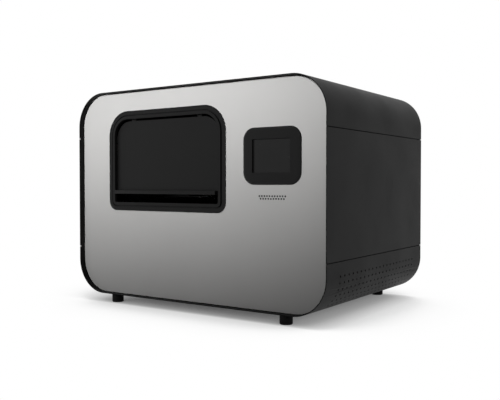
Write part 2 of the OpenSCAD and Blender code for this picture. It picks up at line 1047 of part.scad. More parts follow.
module gate(x, side) {
    inner = tractor_w / 2;
    plate_out = gate_axis_out - 4;
    stub_l = gate_barrel_l + 2 * hinge_gap + 2 * (gate_lug_l - 2);
    z = [paper_z + 2, paper_z + 2 + gate_t];
    color([0.26, 0.30, 0.36])
        union() {
            difference() {
                block(
                    side > 0 ? [x - inner, x + plate_out] : [x - plate_out, x + inner],
                    spread(gate_mid, gate_len), z
                );
                block(spread(x, belt_w + 2), spread(gate_mid, gate_len - 10), [z[0] - 1, z[1] + 1]);
            }
            rod_along_y(
                x + side * gate_axis_out, spread(gate_mid, gate_barrel_l), gate_axis_z, gate_barrel_r
            );
            block(
                side > 0 ? [x + plate_out - 1, x + gate_axis_out] : [x - gate_axis_out, x - plate_out + 1],
                spread(gate_mid, gate_barrel_l), [gate_axis_z, gate_axis_z + gate_barrel_r]
            );
            rod_along_y(x + side * gate_axis_out, spread(gate_mid, stub_l), gate_axis_z, gate_stub_r);
        }
}

module left_gate() {
    gate(left_tx, -1);
}

module right_gate() {
    gate(right_tx, 1);
}

module sprocket(x) {
    color([0.80, 0.80, 0.78])
        difference() {
            union() {
                rod_x(spread(x, belt_w), drive_y, shaft_z, belt_r - free_gap);
                rod_x(spread(x, tractor_w), drive_y, shaft_z, hub_r);
            }
            along_x(x - tractor_w, x + tractor_w)
                translate([drive_y, shaft_z])
                    square(shaft_s + 2 * run_fit, center = true);
        }
}

module left_sprocket() {
    sprocket(left_tx);
}

module right_sprocket() {
    sprocket(right_tx);
}

module pin_belt(x) {
    pins = floor(tractor_cc / pin_pitch) + 1;
    color(rubber_black)
        union() {
            along_x(x - belt_w / 2, x + belt_w / 2)
                translate([idle_y, shaft_z])
                    difference() {
                        stadium(tractor_cc, belt_r + pin_belt_t);
                        stadium(tractor_cc, belt_r);
                    }
            for (i = [0 : pins - 1], s = [-1, 1])
                translate([x, gate_mid + (i - (pins - 1) / 2) * pin_pitch, shaft_z + s * (belt_r + 1)])
                    rotate([s > 0 ? 0 : 180, 0, 0])
                        cylinder(r = tractor_pin_r, h = tractor_pin_h + pin_belt_t - 1, $fn = 16);
        }
}

module left_pin_belt() {
    pin_belt(left_tx);
}

module right_pin_belt() {
    pin_belt(right_tx);
}

module lock_lever(x, side) {
    x_in = x + side * (tractor_w / 2 + hinge_gap);
    xs = side > 0 ? [x_in, x_in + lever_t] : [x_in - lever_t, x_in];
    color([0.10, 0.30, 0.55])
        difference() {
            union() {
                rod_x(xs, idle_y, shaft_z, lever_r);
                translate([0, idle_y, shaft_z])
                    rotate([lever_rest, 0, 0])
                        along_x(xs[0], xs[1]) {
                            translate([-lever_len, -4])
                                square([lever_len, 8]);
                            translate([-lever_len, 0])
                                circle(5);
                        }
            }
            rod_x([xs[0] - 1, xs[1] + 1], idle_y, shaft_z, journal_r + run_fit);
        }
}

module left_lock_lever() {
    lock_lever(left_tx, -1);
}

module right_lock_lever() {
    lock_lever(right_tx, 1);
}

module stepper_body(l) {
    linear_extrude(l)
        intersection() {
            square(motor_s, center = true);
            rotate(45)
                square(motor_s * 1.28, center = true);
        }
}

module feed_motor() {
    color([0.15, 0.15, 0.16])
        difference() {
            union() {
                translate([mech_xr - motor_l, motor_y, motor_z])
                    rotate([90, 0, 90])
                        stepper_body(motor_l);
                rod_x([mech_xr - 1, mech_xr + 2], motor_y, motor_z, 19);
            }
            rod_x([mech_xr - 20, mech_xr + 3], motor_y, motor_z, spindle_r + run_fit);
        }
}

module flanged_pulley(r, w, flange) {
    teeth = 24;
    flange_t = 2;
    linear_extrude(w)
        difference() {
            circle(r);
            for (i = [0 : teeth - 1])
                rotate(i * 360 / teeth)
                    translate([r, 0])
                        circle(r * 0.06, $fn = 16);
        }
    for (z = [0, w - flange_t])
        translate([0, 0, z])
            cylinder(r = r + flange, h = flange_t);
}

module motor_pulley() {
    color(steel)
        union() {
            translate([pulley_x, motor_y, motor_z])
                rotate([90, 0, 90])
                    flanged_pulley(pulley_small, pulley_w, 4);
            rod_x([mech_xr - 18, pulley_x + pulley_w + 2], motor_y, motor_z, spindle_r);
        }
}

module shaft_pulley() {
    color(steel)
        difference() {
            translate([pulley_x, drive_y, shaft_z])
                rotate([90, 0, 90])
                    flanged_pulley(pulley_big, pulley_w, 4);
            rod_x([pulley_x - 1, pulley_x + pulley_w + 1], drive_y, shaft_z, journal_r + run_fit);
        }
}

// Outline of a belt round two pulleys, grown by an amount
module belt_outline(a, ra, b, rb, grow) {
    hull() {
        translate(a)
            circle(ra + grow, $fn = 64);
        translate(b)
            circle(rb + grow, $fn = 64);
    }
}

module feed_belt() {
    a = [drive_y, shaft_z];
    b = [motor_y, motor_z];
    color(rubber_black)
        along_x(pulley_x + 3, pulley_x + pulley_w - 3)
            difference() {
                belt_outline(a, pulley_big, b, pulley_small, free_gap + drive_belt_t);
                belt_outline(a, pulley_big, b, pulley_small, free_gap);
            }
}

// Embossing head

module guide_rods() {
    color(steel)
        for (y = [rod_y, rod_y2])
            rod_x([mech_xl - mech_t, mech_xr + mech_t], y, rod_z, rod_r);
}

function dot_places() = [
    for (c = [0 : dot_cols - 1], r = [0 : dot_rows - 1])
        [(c - (dot_cols - 1) / 2) * dot_pitch, (r - (dot_rows - 1) / 2) * dot_pitch]
];

module carriage() {
    clamp_w = 30;
    clamp_z = rod_z + timing_r;
    block_w = dot_cols * dot_pitch + 8;
    block_d = dot_rows * dot_pitch + 8;
    color([0.50, 0.52, 0.55])
        difference() {
            union() {
                block(spread(carriage_x, carriage_w), [carriage_y0, carriage_y1], spread(rod_z, carriage_h));
                block(spread(carriage_x, nose_w), spread(head_y, nose_d), [nose_z, rod_z]);
                block(
                    spread(carriage_x, clamp_w), [carriage_y1 - 1, timing_y + timing_w + 4],
                    [clamp_z - 5, clamp_z + 6]
                );
            }
            for (y = [rod_y, rod_y2])
                rod_x(spread(carriage_x, carriage_w + 2), y, rod_z, rod_r + run_fit);
            block(
                spread(carriage_x, clamp_w + 2), [timing_y - 0.5, timing_y + timing_w + 0.5],
                [clamp_z, clamp_z + timing_t + 2 * free_gap]
            );
            block(
                spread(carriage_x, block_w), spread(head_y, block_d),
                [pin_block_z - 2, pin_block_z - 2 + pin_cavity_h]
            );
            for (p = dot_places())
                translate([carriage_x + p[0], head_y + p[1], nose_z - 1])
                    cylinder(r = dot_r + 0.1, h = 6);
        }
}

module solenoids() {
    color([0.55, 0.30, 0.12])
        for (i = [-1, 0, 1], j = [-1, 1])
            translate([carriage_x + i * solenoid_step[0], head_y + j * solenoid_step[1], carriage_top]) {
                cylinder(r = solenoid_r, h = solenoid_h);
                translate([0, 0, solenoid_h])
                    cylinder(r = plunger_r, h = plunger_h);
            }
}

module emboss_pins() {
    color(steel)
        union() {
            block(
                spread(carriage_x, dot_cols * dot_pitch + 7), spread(head_y, dot_rows * dot_pitch + 7),
                [pin_block_z, pin_block_z + pin_block_t]
            );
            for (p = dot_places())
                translate([carriage_x + p[0], head_y + p[1], pin_tip_z])
                    cylinder(r = dot_r, h = pin_block_z - pin_tip_z + 1);
        }
}

module anvil_bar() {
    groove = 12;
    color(steel)
        difference() {
            block([mech_xl, mech_xr], spread(head_y, anvil_d), [anvil_top - anvil_h, anvil_top]);
            block([mech_xl - 1, mech_xr + 1], spread(head_y, groove), [anvil_top - 3, anvil_top + 1]);
        }
}

module carriage_motor() {
    color([0.15, 0.15, 0.16])
        difference() {
            translate([drive_x, bracket_y + bracket_t + step_l, rod_z])
                rotate([90, 0, 0])
                    stepper_body(step_l);
            rod_along_y(drive_x, [bracket_y, bracket_y + bracket_t + 20], rod_z, spindle_small + run_fit);
        }
}

module timing_pulley(x) {
    translate([x, timing_y + timing_w + 2, rod_z])
        rotate([90, 0, 0])
            flanged_pulley(timing_r, timing_w + 4, timing_flange - timing_r);
}

module drive_pulley() {
    color(steel)
        union() {
            timing_pulley(drive_x);
            rod_along_y(drive_x, [timing_y, bracket_y + bracket_t + 18], rod_z, spindle_small);
        }
}

module idler_pulley() {
    color(steel)
        difference() {
            timing_pulley(idler_x);
            rod_along_y(idler_x, [timing_y - 4, bracket_y], rod_z, idler_axle_r + run_fit);
        }
}

module belt_brackets() {
    color(zinc) {
        difference() {
            block(
                [drive_x - motor_s * 0.6, mech_xr], [bracket_y, bracket_y + bracket_t],
                spread(rod_z, motor_s * 1.26)
            );
            rod_along_y(drive_x, [bracket_y - 1, bracket_y + bracket_t + 1], rod_z, spindle_small * 3);
        }
        union() {
            block(
                [mech_xl, idler_x + timing_r + 6], [bracket_y, bracket_y + bracket_t],
                spread(rod_z, 3 * timing_r)
            );
            rod_along_y(idler_x, [timing_y - 3, bracket_y + 1], rod_z, idler_axle_r);
        }
    }
}

module carriage_belt() {
    color(rubber_black)
        along_y(timing_y, timing_y + timing_w)
            translate([idler_x, rod_z])
                difference() {
                    stadium(drive_x - idler_x, timing_r + free_gap + timing_t);
                    stadium(drive_x - idler_x, timing_r + free_gap);
                }
}

// Paper guides

module infeed_guide() {
    x = spread(hatch_x, guide_w - 4);
    color(zinc)
        union() {
            block(x, [head_y + anvil_d / 2, rear_in], [infeed_z - guide_t, infeed_z]);
            block(x, [rear_in - guide_t, rear_in], [infeed_z - infeed_drop, infeed_z]);
        }
}

module outfeed_guide() {
    x = spread(hatch_x, guide_w - 4);
    color(trim_black)
        union() {
            block(x, [plate_back, outfeed_y], [outfeed_z - guide_t, outfeed_z]);
            block(x, [plate_back, plate_back + guide_t], [outfeed_z - outfeed_drop, outfeed_z]);
        }
}

// Electronics

module power_supply() {
    x = [bay_x - psu_w, bay_x];
    y = [psu_y, psu_y + psu_d];
    z = [base_top, base_top + psu_h];
    pitch = psu_d / (psu_slots + 1);
    color(zinc)
        difference() {
            block(x, y, z);
            block([x[0] + psu_t, x[1] - psu_t], [y[0] + psu_t, y[1] - psu_t], [z[0] - 1, z[1] - psu_t]);
            for (i = [1 : psu_slots])
                block(
                    [x[0] + psu_w * 0.1, x[1] - psu_w * 0.1], spread(y[0] + i * pitch, pitch * 0.28),
                    [z[1] - psu_t / 2, z[1] + 1]
                );
        }
}

module control_board() {
    x = [bay_x - board_w, bay_x];
    y = [board_y, board_y + board_d];
    z = base_top + board_rise;
    chips = 4;
    caps = 5;
    edge = board_w * 0.06;
    color([0.08, 0.32, 0.18])
        union() {
            block(x, y, [z, z + pcb_t]);
            for (px = [x[0] + edge, x[1] - edge], py = [y[0] + edge, y[1] - edge])
                translate([px, py, base_top])
                    cylinder(r = edge / 2, h = board_rise + 1);
            for (i = [1 : chips])
                block(
                    spread(x[0] + board_w * 0.3, chip_s), spread(y[0] + i * board_d / (chips + 1), chip_s),
                    [z, z + pcb_t + 5]
                );
            for (i = [1 : caps])
                translate([x[1] - board_w * 0.22, y[0] + i * board_d / (caps + 1), z])
                    cylinder(r = cap_r, h = cap_h);
        }
}

// Stamped rings on two crossed bars, whose ends stand on posts at the fan's corners
module fan_guard() {
    corner = fan_s / 2 - 7.5;
    y = [rear_y + guard_lift, rear_y + guard_lift + guard_t];
    along_y(y[0], y[1])
        translate([fan_x, fan_z]) {
            for (i = [1 : guard_rings])
                difference() {
                    circle(i * rotor_r / guard_rings);
                    circle(i * rotor_r / guard_rings - guard_w);
                }
            for (a = [45, 135])
                rotate(a)
                    square([2 * corner * sqrt(2), guard_w], center = true);
        }
    for (sx = [-1, 1], sz = [-1, 1])
        rod_along_y(fan_x + sx * corner, [rear_y, y[1]], fan_z + sz * corner, eyelet_r);
}

module fan_frame() {
    y = [rear_in - fan_t, rear_in];
    strut = [y[0], y[0] + 4];
    color(trim_black) {
        difference() {
            block(spread(fan_x, fan_s), y, spread(fan_z, fan_s));
            rod_along_y(fan_x, [y[0] - 1, y[1] + 1], fan_z, fan_bore);
        }
        block(spread(fan_x, fan_s - 2), strut, spread(fan_z, 8));
        block(spread(fan_x, 8), strut, spread(fan_z, fan_s - 2));
        rod_along_y(fan_x, strut, fan_z, fan_hub_r);
        rod_along_y(fan_x, [y[0], y[0] + fan_post], fan_z, spindle_r);
    }
    color(steel)
        fan_guard();
}

module fan_rotor() {
    blades = 7;
    y = [rear_in - fan_t + 5, rear_in - 2];
    color(trim_black)
        difference() {
            union() {
                rod_along_y(fan_x, y, fan_z, fan_hub_r);
                for (i = [0 : blades - 1])
                    translate([fan_x, (y[0] + y[1]) / 2, fan_z])
                        rotate([0, i * 360 / blades, 0])
                            translate([fan_hub_r - 2, 0, 0])
                                rotate([35, 0, 0])
                                    translate([0, -1, -10])
                                        cube([rotor_r - fan_hub_r - 2, 2, 20]);
            }
            rod_along_y(
                fan_x, [y[0] - 1, rear_in - fan_t + fan_post + fan_post_gap], fan_z, spindle_r + run_fit
            );
        }
}

front_plate();
hatch_bezel();
hatch_flap();
hatch_hinge_pins();
display_bezel();
touch_screen();
speaker();
lid_cover();
lid_liner();
left_side_panel();
right_side_panel();
bottom_tray();
rear_panel();
lid_hinge_leaves();
rear_hinge_leaves();
lid_hinge_pins();
lid_bumpers();
feet();
base_plate();
front_frame();
rear_frame();
side_rails();
left_mech_plate();
right_mech_plate();
tractor_shaft();
support_shaft();
shaft_bushes();
left_tractor();
right_tractor();
left_gate();
right_gate();
left_sprocket();
right_sprocket();
left_pin_belt();
right_pin_belt();
left_lock_lever();
right_lock_lever();
feed_motor();
motor_pulley();
feed_belt();
shaft_pulley();
guide_rods();
carriage();
solenoids();
emboss_pins();
anvil_bar();
carriage_motor();
drive_pulley();
idler_pulley();
belt_brackets();
carriage_belt();
infeed_guide();
outfeed_guide();
power_supply();
control_board();
fan_frame();
fan_rotor();
power_inlet();
power_switch();
data_ports();
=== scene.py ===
"""Finishes, small trim and a studio stage for the braille embosser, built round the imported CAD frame."""

import json
import math
import random

import bmesh
import bpy
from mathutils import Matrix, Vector


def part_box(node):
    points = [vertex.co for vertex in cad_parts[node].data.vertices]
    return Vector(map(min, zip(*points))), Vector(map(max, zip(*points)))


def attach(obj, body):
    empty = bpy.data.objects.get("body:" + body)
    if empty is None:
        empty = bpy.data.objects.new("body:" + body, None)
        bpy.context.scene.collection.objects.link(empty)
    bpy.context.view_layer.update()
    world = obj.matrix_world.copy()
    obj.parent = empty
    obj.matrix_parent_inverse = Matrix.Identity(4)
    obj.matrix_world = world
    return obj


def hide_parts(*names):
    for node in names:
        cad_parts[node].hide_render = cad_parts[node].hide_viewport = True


bl_info = {
    "name": "Braille embosser finishes",
    "version": (1, 0, 0),
    "blender": (4, 5, 0),
    "location": "View3D > Sidebar > Embosser",
    "description": "Dresses the embosser's CAD frame with finishes, fasteners and a studio stage",
    "category": "Object",
}

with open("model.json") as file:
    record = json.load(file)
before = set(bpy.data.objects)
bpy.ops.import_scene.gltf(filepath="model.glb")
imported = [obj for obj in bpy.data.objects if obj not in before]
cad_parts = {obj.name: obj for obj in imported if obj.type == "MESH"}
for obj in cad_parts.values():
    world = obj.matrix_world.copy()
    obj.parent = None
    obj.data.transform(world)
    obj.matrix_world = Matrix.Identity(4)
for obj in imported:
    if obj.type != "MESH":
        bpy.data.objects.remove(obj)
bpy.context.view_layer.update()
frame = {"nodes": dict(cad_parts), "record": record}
NODE_BODY = {n: b for b, names in frame["record"]["behaviour"]["bodies"].items() for n in names}
NODE_SLOT = {s["node"]: s["material_slot"] for s in frame["record"]["subparts"]}
MM = 0.001
X, Y, Z = Vector((1, 0, 0)), Vector((0, 1, 0)), Vector((0, 0, 1))
BLACK = (0.0, 0.0, 0.0, 1.0)
WHITE = (1.0, 1.0, 1.0, 1.0)


# Settings that a user would change

def colour_property(label, *rgb):
    return bpy.props.FloatVectorProperty(
        name=label, description="Base colour: " + label.lower(), subtype="COLOR", size=3, min=0, max=1,
        default=rgb,
    )


def length_property(name, description, default):
    return bpy.props.FloatProperty(
        name=name, description=description, default=default, min=0, subtype="DISTANCE", unit="LENGTH",
        precision=5,
    )


def angle_property(name, description, degrees):
    return bpy.props.FloatProperty(
        name=name, description=description, default=math.radians(degrees), subtype="ANGLE",
    )


class EmbosserColours(bpy.types.PropertyGroup):
    """Base colour of each finish, by the record's slots"""
    casing_paint: colour_property("Powder coat of the casing", 0.007, 0.007, 0.007)
    front_silver: colour_property("Anodised front plate", 0.66, 0.655, 0.645)
    trim_plastic: colour_property("Moulded bezels and flap", 0.006, 0.006, 0.006)
    screen_glass: colour_property("Touch panel when it is off", 0.008, 0.008, 0.008)
    # This colour also darkens the strips in the seams, which are painted shade.
    foot_rubber: colour_property("Feet, bumpers, belts and seals", 0.006, 0.006, 0.006)
    liner_foam: colour_property("Acoustic liner", 0.03, 0.03, 0.032)
    zinc_sheet: colour_property("Plated chassis parts", 0.6, 0.61, 0.61)
    shaft_steel: colour_property("Ground shafts, hinges and screws", 0.66, 0.66, 0.67)
    bronze_bush: colour_property("Shaft bushes and die strip", 0.62, 0.42, 0.18)
    cast_alloy: colour_property("Embossing carriage", 0.42, 0.43, 0.44)
    black_lacquer: colour_property("Lacquered motors, plates and anvil", 0.012, 0.012, 0.012)
    tractor_plastic: colour_property("Tractor mouldings", 0.012, 0.012, 0.013)
    lever_blue: colour_property("Lock levers", 0.03, 0.12, 0.36)
    coil_copper: colour_property("Solenoid windings", 0.3, 0.11, 0.04)
    board_green: colour_property("Circuit board", 0.02, 0.12, 0.06)
    port_metal: colour_property("Connector shells", 0.45, 0.45, 0.46)


class EmbosserSizes(bpy.types.PropertyGroup):
    """Sizes of what the CAD frame leaves to the finish"""
    sheet_edge: length_property("Sheet edge", "Radius on the edges of folded sheet", 0.5 * MM)
    moulded_edge: length_property("Moulded edge", "Radius on the edges of moulded plastic", 0.9 * MM)
    machined_edge: length_property("Machined edge", "Bevel on machined and turned parts", 0.4 * MM)
    seam: length_property("Seam", "Gap between neighbouring casing panels", 2.0 * MM)
    # The seam depth also sets where the dark strips lie, painted shade in the seams.
    seam_depth: length_property("Seam depth", "How far the seal lies below the casing's face", 1.7 * MM)


class EmbosserStage(bpy.types.PropertyGroup):
    """Where the camera stands and what it looks at"""
    camera_place: bpy.props.FloatVectorProperty(
        name="Camera", description="Where the camera stands", subtype="XYZ", size=3,
        default=(1.2263, -1.8119, 0.3660),
    )
    camera_turn: angle_property("Turn", "Camera's turn to the left of straight ahead", 34.237)
    camera_dip: angle_property("Dip", "Camera's tilt below the horizon", 1.375)
    camera_lens: bpy.props.FloatProperty(
        name="Lens", description="Focal length on a 36 mm wide sensor", default=49.29,
        subtype="DISTANCE_CAMERA",
    )


# Node expressions

class Val:
    """A node socket that takes part in Python arithmetic."""

    def __init__(self, graph, socket):
        self.graph, self.socket = graph, socket

    def _math(self, operation, a, b):
        return self.graph.node("ShaderNodeMath", {"operation": operation}, {0: a, 1: b})

    def __add__(self, other):
        return self._math("ADD", self, other)

    def __radd__(self, other):
        return self._math("ADD", other, self)

    def __sub__(self, other):
        return self._math("SUBTRACT", self, other)

    def __rsub__(self, other):
        return self._math("SUBTRACT", other, self)

    def __mul__(self, other):
        return self._math("MULTIPLY", self, other)

    def __rmul__(self, other):
        return self._math("MULTIPLY", other, self)

    def __truediv__(self, other):
        return self._math("DIVIDE", self, other)

    def __rtruediv__(self, other):
        return self._math("DIVIDE", other, self)

    def __mod__(self, other):
        return self._math("FLOORED_MODULO", self, other)

    def __rmod__(self, other):
        return self._math("FLOORED_MODULO", other, self)

    def larger(self, other):
        """The larger of two values."""
        return self._math("MAXIMUM", self, other)

    def output(self, name):
        """Another output of the same node."""
        return Val(self.graph, self.socket.node.outputs[name])


def set_stops(elements, stops):
    """Gives a colour ramp a grey at every stop."""
    while len(elements) < len(stops):
        elements.new(1.0)
    for element, (place, grey) in zip(elements, stops):
        element.position, element.color = place, (grey, grey, grey, 1.0)


class Graph:
    """A node tree that starts empty."""

    def __init__(self, tree):
        self.nodes, self.links = tree.nodes, tree.links
        self.nodes.clear()

    def node(self, kind, settings=None, inputs=None, out=0):
        """A new node: its settings, then the values or links of its sockets. Returns one output, if any."""
        made = self.nodes.new(kind)
        for key, value in (settings or {}).items():
            if key == "stops":
                set_stops(made.color_ramp.elements, value)
            else:
                setattr(made, key, value)
        for key, value in (inputs or {}).items():
            for source in value if isinstance(value, list) else [value]:
                if isinstance(source, Val):
                    self.links.new(source.socket, made.inputs[key])
                else:
                    made.inputs[key].default_value = source
        return Val(self, made.outputs[out]) if made.outputs else None

    def seen_directly(self):
        """1 for rays from the camera, a reflection or glass."""
        camera = self.node("ShaderNodeLightPath", out="Is Camera Ray")
        return camera.larger(camera.output("Is Glossy Ray").larger(camera.output("Is Transmission Ray")))


# Colour sockets of a Mix node, by their number
MIX_FIRST, MIX_SECOND, MIX_RESULT = 6, 7, 2


class Finish(Graph):
    """One procedural material and the nodes that make it."""

    def __init__(self, name):
        self.material = bpy.data.materials.get(name) or bpy.data.materials.new(name)
        self.material.use_nodes = True
        super().__init__(self.material.node_tree)

    def place(self, stretch=(1, 1, 1)):
        """Object coordinates, stretched."""
        coords = self.node("ShaderNodeTexCoord", out="Object")
        return self.node("ShaderNodeMapping", None, {"Vector": coords, "Scale": stretch})

    def noise(self, scale, detail=2.0, stretch=(1, 1, 1)):
        return self.node(
            "ShaderNodeTexNoise", None, {"Vector": self.place(stretch), "Scale": scale, "Detail": detail},
        )

    def spread(self, value, low, high, to_low=0.0, to_high=1.0):
        """A value carried from one range to another and held at its ends."""
        return self.node(
            "ShaderNodeMapRange", None,
            {"Value": value, "From Min": low, "From Max": high, "To Min": to_low, "To Max": to_high},
        )

    def tint(self, factor, first, second):
        """A colour between two others."""
        return self.node(
            "ShaderNodeMix", {"data_type": "RGBA"},
            {"Factor": factor, MIX_FIRST: first, MIX_SECOND: second}, out=MIX_RESULT,
        )

    def bump(self, height, distance):
        return self.node("ShaderNodeBump", None, {"Height": height, "Distance": distance})

    def show(self, shader):
        """Makes a shader the material's surface. Returns the material."""
        self.node("ShaderNodeOutputMaterial", None, {"Surface": shader})
        return self.material

    def surface(self, **inputs):
        """Shows a Principled shader, with its sockets given by name."""
        names = {key.replace("_", " "): value for key, value in inputs.items()}
        return self.show(self.node("ShaderNodeBsdfPrincipled", None, names))


def shade(rgb, factor=1.0):
    return (*(min(1.0, channel * factor) for channel in rgb), 1.0)


def powder_coat(name, rgb, rough=0.48):
    """Fine orange-peel powder coat with faint handling marks."""
    f = Finish(name)
    grain = f.noise(scale=900.0, detail=3.0)
    peel = f.noise(scale=220.0)
    wear = f.noise(scale=9.0, detail=4.0)
    tone = f.spread(wear, 0.35, 0.7)
    rub = f.spread(f.node("ShaderNodeNewGeometry", out="Pointiness"), 0.53, 0.6, to_high=0.6) * tone
    return f.surface(
        Base_Color=f.tint(rub, f.tint(tone, shade(rgb, 0.9), shade(rgb, 1.12)), shade(rgb, 4.0)),
        Roughness=f.spread(wear, 0.3, 0.75, rough - 0.05, rough + 0.06),
        Specular_IOR_Level=0.06,
        Normal=f.bump(grain * 0.6 + peel * 0.4, 0.12 * MM),
    )


def anodised(name, rgb):
    """Bead-blasted and anodised aluminium, whose film scatters light as paint does."""
    f = Finish(name)
    blast = f.noise(scale=1400.0)
    cloud = f.noise(scale=5.0, detail=3.0)
    return f.surface(
        Base_Color=f.tint(f.spread(cloud, 0.3, 0.7), shade(rgb, 0.97), shade(rgb, 1.02)),
        Specular_IOR_Level=0.3,
        Roughness=f.spread(cloud, 0.3, 0.7, 0.44, 0.5),
        Normal=f.bump(blast, 0.06 * MM),
    )


def moulded(name, rgb, rough=0.42, texture=0.08 * MM, gloss=0.14):
    """Moulded plastic with a spark-eroded texture."""
    f = Finish(name)
    spark = f.noise(scale=1100.0)
    flow = f.noise(scale=14.0, detail=3.0)
    return f.surface(
        Base_Color=f.tint(f.spread(flow, 0.3, 0.7), shade(rgb, 0.92), shade(rgb, 1.1)),
        Roughness=f.spread(flow, 0.3, 0.7, rough - 0.04, rough + 0.05),
        Specular_IOR_Level=gloss,
        Normal=f.bump(spark, texture),
    )


def touch_panel(name, rgb):
    """Matt-coated touch panel with faint finger smears."""
    f = Finish(name)
    smear = f.noise(scale=18.0, detail=5.0, stretch=(1, 1, 2.5))
    return f.surface(
        Base_Color=f.tint(f.spread(smear, 0.4, 0.7), shade(rgb), shade(rgb, 1.15)),
        Roughness=f.spread(smear, 0.35, 0.75, 0.16, 0.3),
        Specular_IOR_Level=0.18,
    )


def rubber(name, rgb, gloss=0.1):
    """Matt rubber with a dusty bloom."""
    f = Finish(name)
    bloom = f.noise(scale=60.0, detail=5.0)
    return f.surface(
        Base_Color=f.tint(f.spread(bloom, 0.4, 0.8), shade(rgb), shade(rgb, 1.9)),
        Roughness=f.spread(bloom, 0.3, 0.8, 0.62, 0.8),
        Specular_IOR_Level=gloss,
        Normal=f.bump(f.noise(scale=700.0), 0.1 * MM),
    )


def foam(name, rgb):
    """Open-cell foam."""
    f = Finish(name)
    cells = f.node("ShaderNodeTexVoronoi", None, {"Vector": f.place(), "Scale": 520.0})
    return f.surface(
        Base_Color=f.tint(f.spread(cells, 0.1, 0.6), shade(rgb, 1.3), shade(rgb, 0.5)),
        Roughness=0.95,
        Normal=f.bump(cells, 0.5 * MM),
    )


def plated(name, rgb, rough=0.36, stretch=(1, 1, 1), metal=1.0):
    """Plated, ground or cast metal, with drawn lines along one axis. Dull metal also scatters light."""
    f = Finish(name)
    lines = f.noise(scale=500.0, detail=3.0, stretch=stretch)
    stain = f.noise(scale=16.0, detail=4.0)
    return f.surface(
        Base_Color=f.tint(f.spread(stain, 0.3, 0.75), shade(rgb, 1.05), shade(rgb, 0.85)),
        Metallic=metal,
        Roughness=f.spread(stain, 0.3, 0.75, rough - 0.05, rough + 0.1),
        Normal=f.bump(lines, 0.03 * MM),
    )


def windings(name, rgb):
    """Varnished copper wire, wound round an upright former, painted lighter on each turn's crest and darker
    in the groove between turns: a painted highlight and painted shade.
    """
    f = Finish(name)
    turns = f.node(
        "ShaderNodeTexWave", {"bands_direction": "Z"},
        {"Vector": f.place(), "Scale": 320.0, "Distortion": 0.3},
    )
    return f.surface(
        # Painted highlight on each turn's crest and painted shade between turns, following the same wave as
        # the bump.
        Base_Color=f.tint(turns, shade(rgb, 0.55), shade(rgb, 1.5)),
        Metallic=0.55,
        Roughness=f.spread(turns, 0.0, 1.0, 0.5, 0.28),
        Normal=f.bump(turns, 0.3 * MM),
    )


def solder_mask(name, rgb):
    """Green board with a faint net of tracks."""
    f = Finish(name)
    tracks = f.node(
        "ShaderNodeTexBrick", None, {"Vector": f.place(), "Scale": 120.0, "Mortar Size": 0.06}, out="Fac",
    )
    return f.surface(
        Base_Color=f.tint(tracks, shade(rgb), shade(rgb, 1.7)),
        Roughness=0.32,
        Normal=f.bump(tracks, 0.05 * MM),
    )


# The maker of each slot's finish, and what differs from its usual values
FINISHES = {
    "casing_paint": (powder_coat, {}),
    "front_silver": (anodised, {}),
    "trim_plastic": (moulded, {}),
    "screen_glass": (touch_panel, {}),
    "foot_rubber": (rubber, {}),
    "liner_foam": (foam, {}),
    "zinc_sheet": (plated, {"metal": 0.6}),
    "shaft_steel": (plated, {"rough": 0.24, "stretch": (0.15, 1, 1)}),
    "bronze_bush": (plated, {"rough": 0.3}),
    "cast_alloy": (plated, {"rough": 0.6, "metal": 0.05}),
    "black_lacquer": (powder_coat, {"rough": 0.35}),
    "tractor_plastic": (moulded, {"rough": 0.5, "gloss": 0.06}),
    "lever_blue": (moulded, {"rough": 0.3, "texture": 0.03 * MM}),
    "coil_copper": (windings, {}),
    "board_green": (solder_mask, {}),
    "port_metal": (plated, {"rough": 0.28}),
}


def finish_for(slot):
    """The material of a record slot, made on first use."""
    name = "finish_" + slot
    if name in bpy.data.materials:
        return bpy.data.materials[name]
    make, changes = FINISHES[slot]
    return make(name, tuple(getattr(bpy.context.scene.embosser_colours, slot)), **changes)


# Pieces. An edge is rounded where its faces are wide enough, in radii, and less on small mouldings.

MERGE_DISTANCE = 0.005 * MM
FLAT_ANGLE = math.radians(0.4)
SHARP_ANGLE = math.radians(32)
BEVEL_ROOM = 2.2
EDGE_SEGMENTS = 2
MOULDED_SEGMENTS = 3
SMALL_MOULDING = 0.6


def corners(node):
    """The lowest and highest corner of a CAD node, in millimetres."""
    return [Vector(corner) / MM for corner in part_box(node)]


def shown(name, data):
    obj = bpy.data.objects.new(name, data)
    bpy.context.scene.collection.objects.link(obj)
    return obj


def meshed(work, name):
    """A bmesh kept as a mesh."""
    mesh = bpy.data.meshes.new(name)
    work.to_mesh(mesh)
    work.free()
    return mesh


def coated(mesh, finish):
    """Smooths a mesh between its sharp edges and gives it one finish."""
    mesh.shade_smooth()
    mesh.set_sharp_from_angle(angle=SHARP_ANGLE)
    mesh.materials.clear()
    mesh.materials.append(finish)


def face_width(face):
    return 2.0 * face.calc_area() / face.calc_perimeter()


def bevel_marks(work, radius):
    """Marks the sharp edges whose faces are wide enough for a rounding."""
    marks = work.edges.layers.float.new("bevel_weight_edge")
    for edge in work.edges:
        if edge.is_manifold and edge.calc_face_angle() > SHARP_ANGLE:
            edge[marks] = float(min(map(face_width, edge.link_faces)) > BEVEL_ROOM * radius)


